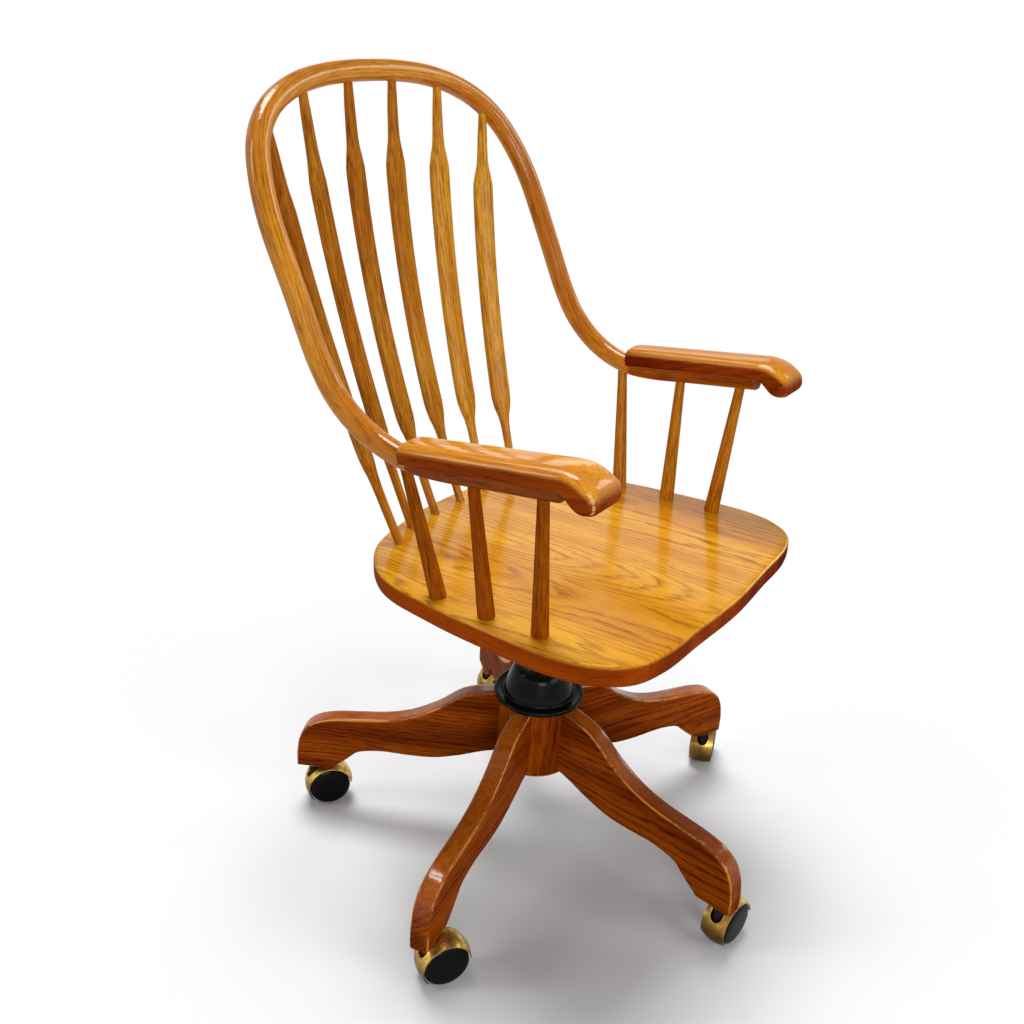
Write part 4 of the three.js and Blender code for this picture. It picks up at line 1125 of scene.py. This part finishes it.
def makePost(word, side, number):
    capShare, across, back = sticks["postPlaces"][number - 1]
    foot = seatFoot(across, back, side)
    top = armPoint(cap["rear"] - cap["length"] * (1 - capShare))
    top.x *= side
    length = (top - foot).length
    footRadius, topRadius = sticks["footRadius"], sticks["topRadius"]
    radii = [(-sticks["seatDepth"] / length, footRadius)]
    radii += [(rise / length, footRadius + change) for rise, change in sticks["postFoot"]]
    start, end = radii[-1][0], 1 - (bow["radius"] + sticks["postSpare"]) / length
    for step in range(1, sticks["postSteps"] + 1):
        share = step / sticks["postSteps"]
        radii.append((start + (end - start) * share, footRadius + (topRadius - footRadius) * share))
    radii.append((1 - sticks["bowStop"] / length, topRadius))
    rings = [(along, radius, radius, 2) for along, radius in radii]
    stations = stickStations(stickLine(foot, top, 0), length, rings)
    across, depth, along, apart = sticks["postGrain"]
    offset = (across * side * number, depth * number, number * along + side * apart)
    finishPiece(
        sweptBar(stations, sticks["sides"], offset), f"armPost{word.capitalize()}{number}", "stickOak",
        "seat_frame", f"arm_post_{word}_{number}", stainAndShade=sticks["postStainAndShade"][word],
    )


# Base

base = {
    "legCount": 5, "firstAngle": radians(118.8), "hubRadius": 54, "hubTop": 229, "hubBottom": 125,
    "hubEdge": 5, "hubTopEdge": 1, "bore": 22.4, "hubSides": 72, "hubGrain": (0.7, 0.3, 0.2),
    "legReach": 340, "footHeight": 66.7, "legThickness": 26, "upperRim": (4, 4, 1),
    "lowerRim": (4, 4, 1), "edgeRings": 4, "band": 3, "wall": ((6, 0),), "rootOverlap": 12,
    "curveSteps": 4, "legGrain": (0.05, 0.03, 1.7),
    # Edges of a leg, outwards on top and back underneath: share out from the hub and share up
    "legTop": [
        (0, 1), (0.065, 0.984), (0.174, 0.928), (0.3, 0.766), (0.428, 0.645), (0.554, 0.585),
        (0.681, 0.56), (0.808, 0.535), (0.89, 0.495), (0.95, 0.42), (0.985, 0.3), (1, 0.15),
    ],
    "legBottom": [
        (0.825, 0), (0.8, 0.04), (0.765, 0.09), (0.73, 0.145), (0.693, 0.203), (0.63, 0.233),
        (0.554, 0.246), (0.428, 0.238), (0.3, 0.247), (0.174, 0.302), (0.065, 0.37), (0, 0.4),
    ],
}


def legPoint(out, up):
    return Vector((
        base["hubRadius"] + (base["legReach"] - base["hubRadius"]) * out,
        base["footHeight"] + (base["hubTop"] - base["footHeight"]) * up,
    ))


def legAngle(number):
    return base["firstAngle"] + 2 * pi * (number - 1) / base["legCount"]


def makeLeg(number):
    root = base["hubRadius"] - base["rootOverlap"]
    top, bottom = ([legPoint(*share) for share in base[edge]] for edge in ("legTop", "legBottom"))
    outline = [Vector((root, top[0].y)), *curvePoints(top, base["curveSteps"]), legPoint(1, 0)]
    outline += [*curvePoints(bottom, base["curveSteps"]), Vector((root, bottom[-1].y))]
    bm = roundedSlab(outline, base, base["legThickness"])
    paintGrain(bm, (2, 1, 0), [share * number for share in base["legGrain"]])
    place = spun(legAngle(number), "Z") @ spun(pi / 2, "X")
    finishPiece(bm, f"leg{number}", "baseOak", "base", f"leg_{number}", place)


def makeHub():
    radius, top, bottom = base["hubRadius"], base["hubTop"], base["hubBottom"]
    bm = spunShape(roundedCorners([
        (base["bore"], bottom, 0), (radius, bottom, base["hubEdge"]), (radius, top, base["hubTopEdge"]),
        (base["bore"], top, 0),
    ]), base["hubSides"])
    paintGrain(bm, (0, 1, 2), base["hubGrain"])
    finishPiece(bm, "baseHub", "baseOak", "base", "base_hub")


cover = {
    # Radius, height and rounding of each corner: flange, skirt, top, and the wall inside
    "corners": [
        (44.5, 229.3, 0), (61.4, 229.3, 2.4), (61.4, 236.3, 3.2), (52.4, 235.1, 2), (48.5, 235.1, 2),
        (47, 242.3, 2), (38.5, 268, 3), (34.5, 274, 2), (13.7, 274, 0.8), (13.7, 271.5, 0.4),
        (33.5, 271.5, 0),
    ],
    "sides": 96,
}


def makeCover():
    bm = spunShape(roundedCorners(cover["corners"]), cover["sides"])
    finishPiece(bm, "hubCover", "blackPlastic", "base", "hub_cover", sharp=40)


# Casters

caster = {
    "stemPlace": 319.5, "trail": 22.4, "angles": [-0.209, -0.173, -0.049, 0.105, -0.067],
    "wheelRadius": 29, "rimPlane": 15.8, "rimWidth": 3, "dome": 3.2, "treadDrop": 2, "axleRadius": 3,
    "hoodRadius": 34.4, "hoodWall": 1.8, "hoodOverhang": 1.2, "crown": 0.09, "webThickness": 12,
    "webDrop": 1.35, "rearAngle": radians(8), "frontAngle": radians(218), "notchRadius": 8.2,
    "notchFloor": 42, "stemRadius": 3.9, "stemTop": 34, "bossRadius": 5.6, "bossTop": -2.2,
    "runningGap": 0.4, "hubRadius": 7,
    # The web's rounded edge, in degrees from the rear over the top, and steps of each curve
    "webAngles": (16, 180), "webSteps": 24, "hoodSteps": 42, "crownSteps": 5, "roundSides": 32,
    "notchSides": 40, "notchReach": 40, "notchSpare": 5, "mouthSpare": (1, 0.5),
    # In front of the stem the web is cut away, between these corners
    "webCut": [(-40, -20, -5), (0, 20, 80)],
    # Wheel: how far its bore lies in, its two bevels, and where its pillow starts under the rim plane
    "boreSink": 1.5, "treadBevel": 1, "rimBevel": 0.6, "pillowSink": 2.2, "pillowPower": 5,
    "pillowShares": (1, 0.997, 0.99, 0.975, 0.95, 0.92, 0.88, 0.83, 0.77, 0.7, 0.6, 0.45, 0.25, 0),
    "wheelSides": 64,
}


def casterPlace(number):
    leg = legAngle(number)
    out = caster["stemPlace"]
    turn = pi * caster["angles"][number - 1]
    return moved(out * cos(leg), out * sin(leg), 0) @ spun(turn, "Z")


def carved(bm, cutter):
    # The first shape less the second
    body, tool = (addObject("carve", meshFrom(shape, "carve")) for shape in (bm, cutter))
    carve = body.modifiers.new("carve", "BOOLEAN")
    carve.operation = "DIFFERENCE"
    carve.object = tool
    carve.solver = "EXACT"
    result = bmesh.new()
    result.from_object(body, bpy.context.evaluated_depsgraph_get())
    for holder in (body, tool):
        mesh = holder.data
        bpy.data.objects.remove(holder)
        bpy.data.meshes.remove(mesh)
    return result


def tipShape(bm, turn):
    # Turned about the line that wheels turn on
    bmesh.ops.rotate(bm, verts=bm.verts, cent=(0, 0, 0), matrix=Matrix.Rotation(turn, 3, "Y"))


def hoodShell():
    # Crowned band about the axle, open at the bottom
    half = caster["rimPlane"] + caster["hoodOverhang"]
    outer = caster["hoodRadius"]
    bm = bmesh.new()
    steps = caster["crownSteps"]
    places = [half * (step / steps - 1) for step in range(2 * steps + 1)]
    section = bm.faces.new([
        bm.verts.new((radius * (1 - caster["crown"] * (y / half) ** 2), y, 0))
        for radius, line in ((outer, places), (outer - caster["hoodWall"], places[::-1])) for y in line
    ])
    tipShape(bm, -caster["rearAngle"])
    bmesh.ops.spin(
        bm, geom=[section] + section.edges[:] + section.verts[:], cent=(0, 0, 0), axis=(0, -1, 0),
        angle=caster["frontAngle"] - caster["rearAngle"], steps=caster["hoodSteps"],
    )
    bmesh.ops.recalc_face_normals(bm, faces=bm.faces)
    bmesh.ops.translate(bm, verts=bm.verts, vec=(caster["trail"], 0, caster["wheelRadius"]))
    return bm


def postShape(radius, low, high, sides):
    bm = bmesh.new()
    bmesh.ops.create_cone(
        bm, cap_ends=True, segments=sides, radius1=radius, radius2=radius, depth=high - low,
        matrix=moved(0, 0, (low + high) / 2),
    )
    return bm


def blockShape(low, high):
    bm = bmesh.new()
    middle = (Vector(low) + Vector(high)) / 2
    size = Vector(high) - Vector(low)
    bmesh.ops.create_cube(bm, size=1, matrix=moved(*middle) @ Matrix.Diagonal((*size, 1)))
    return bm


def hoodWeb():
    outer = caster["hoodRadius"] - caster["webDrop"]
    half, inner, steps = caster["webThickness"] / 2, caster["hubRadius"], caster["webSteps"]
    first, last = caster["webAngles"]
    turns = [radians(first + (last - first) * step / steps) for step in range(steps + 1)]
    points = [(outer * cos(turn), outer * sin(turn)) for turn in turns]
    points += [(-inner, -inner), (inner, -inner)]
    bm = bmesh.new()
    face = bm.faces.new([
        bm.verts.new((x + caster["trail"], -half, z + caster["wheelRadius"])) for x, z in points
    ])
    grown = bmesh.ops.extrude_face_region(bm, geom=[face])["geom"]
    bmesh.ops.translate(bm, verts=vertsOf(grown), vec=(0, 2 * half, 0))
    bmesh.ops.recalc_face_normals(bm, faces=bm.faces)
    return carved(bm, blockShape(*caster["webCut"]))


def makeHood():
    top = caster["wheelRadius"] + caster["hoodRadius"] + caster["notchSpare"]
    radius, reach, sides = caster["notchRadius"], caster["notchReach"], caster["notchSides"]
    slot = caster["notchFloor"] + radius
    notch = postShape(radius, slot, top, sides)
    floorRound = postShape(radius, 0, reach, sides)
    tipShape(floorRound, -pi / 2)
    bmesh.ops.translate(floorRound, verts=floorRound.verts, vec=(0, 0, slot))
    # The last cutter reaches a little further, so that no two cut faces lie in one plane
    outward, upward = caster["mouthSpare"]
    mouth = blockShape((-reach - outward, -radius, slot), (0, radius, top + upward))
    return carved(carved(carved(hoodShell(), notch), floorRound), mouth)


def makeHoodCore():
    # What the two wheels turn on: web, stem and boss
    stem, boss = (
        postShape(
            caster[part + "Radius"], caster["wheelRadius"], base["footHeight"] + caster[part + "Top"],
            caster["roundSides"],
        ) for part in ("stem", "boss")
    )
    return joined(hoodWeb(), [stem, boss])


def makeWheel():
    inner = caster["webThickness"] / 2 + caster["runningGap"]
    radius, rim, bevel = caster["wheelRadius"], caster["rimPlane"], caster["treadBevel"]
    barrel = radius - caster["treadDrop"]
    start = rim - caster["rimWidth"]
    bore = caster["axleRadius"] + caster["runningGap"]
    low = rim - caster["pillowSink"]
    high = caster["dome"] + caster["pillowSink"]
    profile = [
        (0, rim - caster["boreSink"]), (bore, rim - caster["boreSink"]), (bore, inner),
        (barrel - bevel, inner), (barrel, inner + bevel), (barrel, start),
        (radius - caster["rimBevel"], start),
    ]
    for share in caster["pillowShares"]:
        profile.append((radius * share, low + high * sqrt(1 - share ** caster["pillowPower"])))
    return spunShape(profile, caster["wheelSides"])


def makeCasters():
    hood, core, wheel = makeHood(), makeHoodCore(), makeWheel()
    axle = moved(caster["trail"], 0, caster["wheelRadius"])
    for number in range(1, base["legCount"] + 1):
        place = casterPlace(number)
        for shape, word, look in ((hood, "Hood", "brass"), (core, "Core", "castIron")):
            finishPiece(
                shape.copy(), f"caster{word}{number}", look, f"caster_{number}", f"caster_hood_{number}",
                place, sharp=35,
            )
        for letter, side in (("a", -1), ("b", 1)):
            finishPiece(
                wheel.copy(), f"casterWheel{letter.upper()}{number}", "wheelPlastic",
                f"wheel_{letter}_{number}", f"caster_wheel_{letter}_{number}",
                place @ axle @ spun(side * -pi / 2, "X"), sharp=30,
            )
    for shape in (hood, core, wheel):
        shape.free()


makeCamera()
makeLights()
makeStage()
print("camera, light and floor made")

makeSeat()
makeBow()
for capWord, capSide in (("right", -1), ("left", 1)):
    makeCap(capWord, capSide)
    for postNumber in (1, 2, 3):
        makePost(capWord, capSide, postNumber)
for spindleNumber in range(1, 7):
    makeSpindle(spindleNumber)
print("seat, bow, caps and sticks made")

makeHub()
for legNumber in range(1, base["legCount"] + 1):
    makeLeg(legNumber)
makeCover()
makeCasters()
print("base, cover and casters made")

# Nodes that no piece replaces, by the start of their names
keptFinishes = {
    "column_tube": "steel", "height_nut": "steel", "lift_spindle": "steel", "tilt_yoke": "castIron",
    "tilt_axle": "steel", "tilt_spring": "steel", "tension_knob": "blackPlastic",
    "seat_plate": "castIron", "seat_screw": "steel", "leg_socket": "brass", "caster_axle": "steel",
}
for nodeName, node in nodes.items():
    for start, look in keptFinishes.items():
        if nodeName.startswith(start):
            node.data.materials.clear()
            node.data.materials.append(finish[look])
print("kept nodes finished")
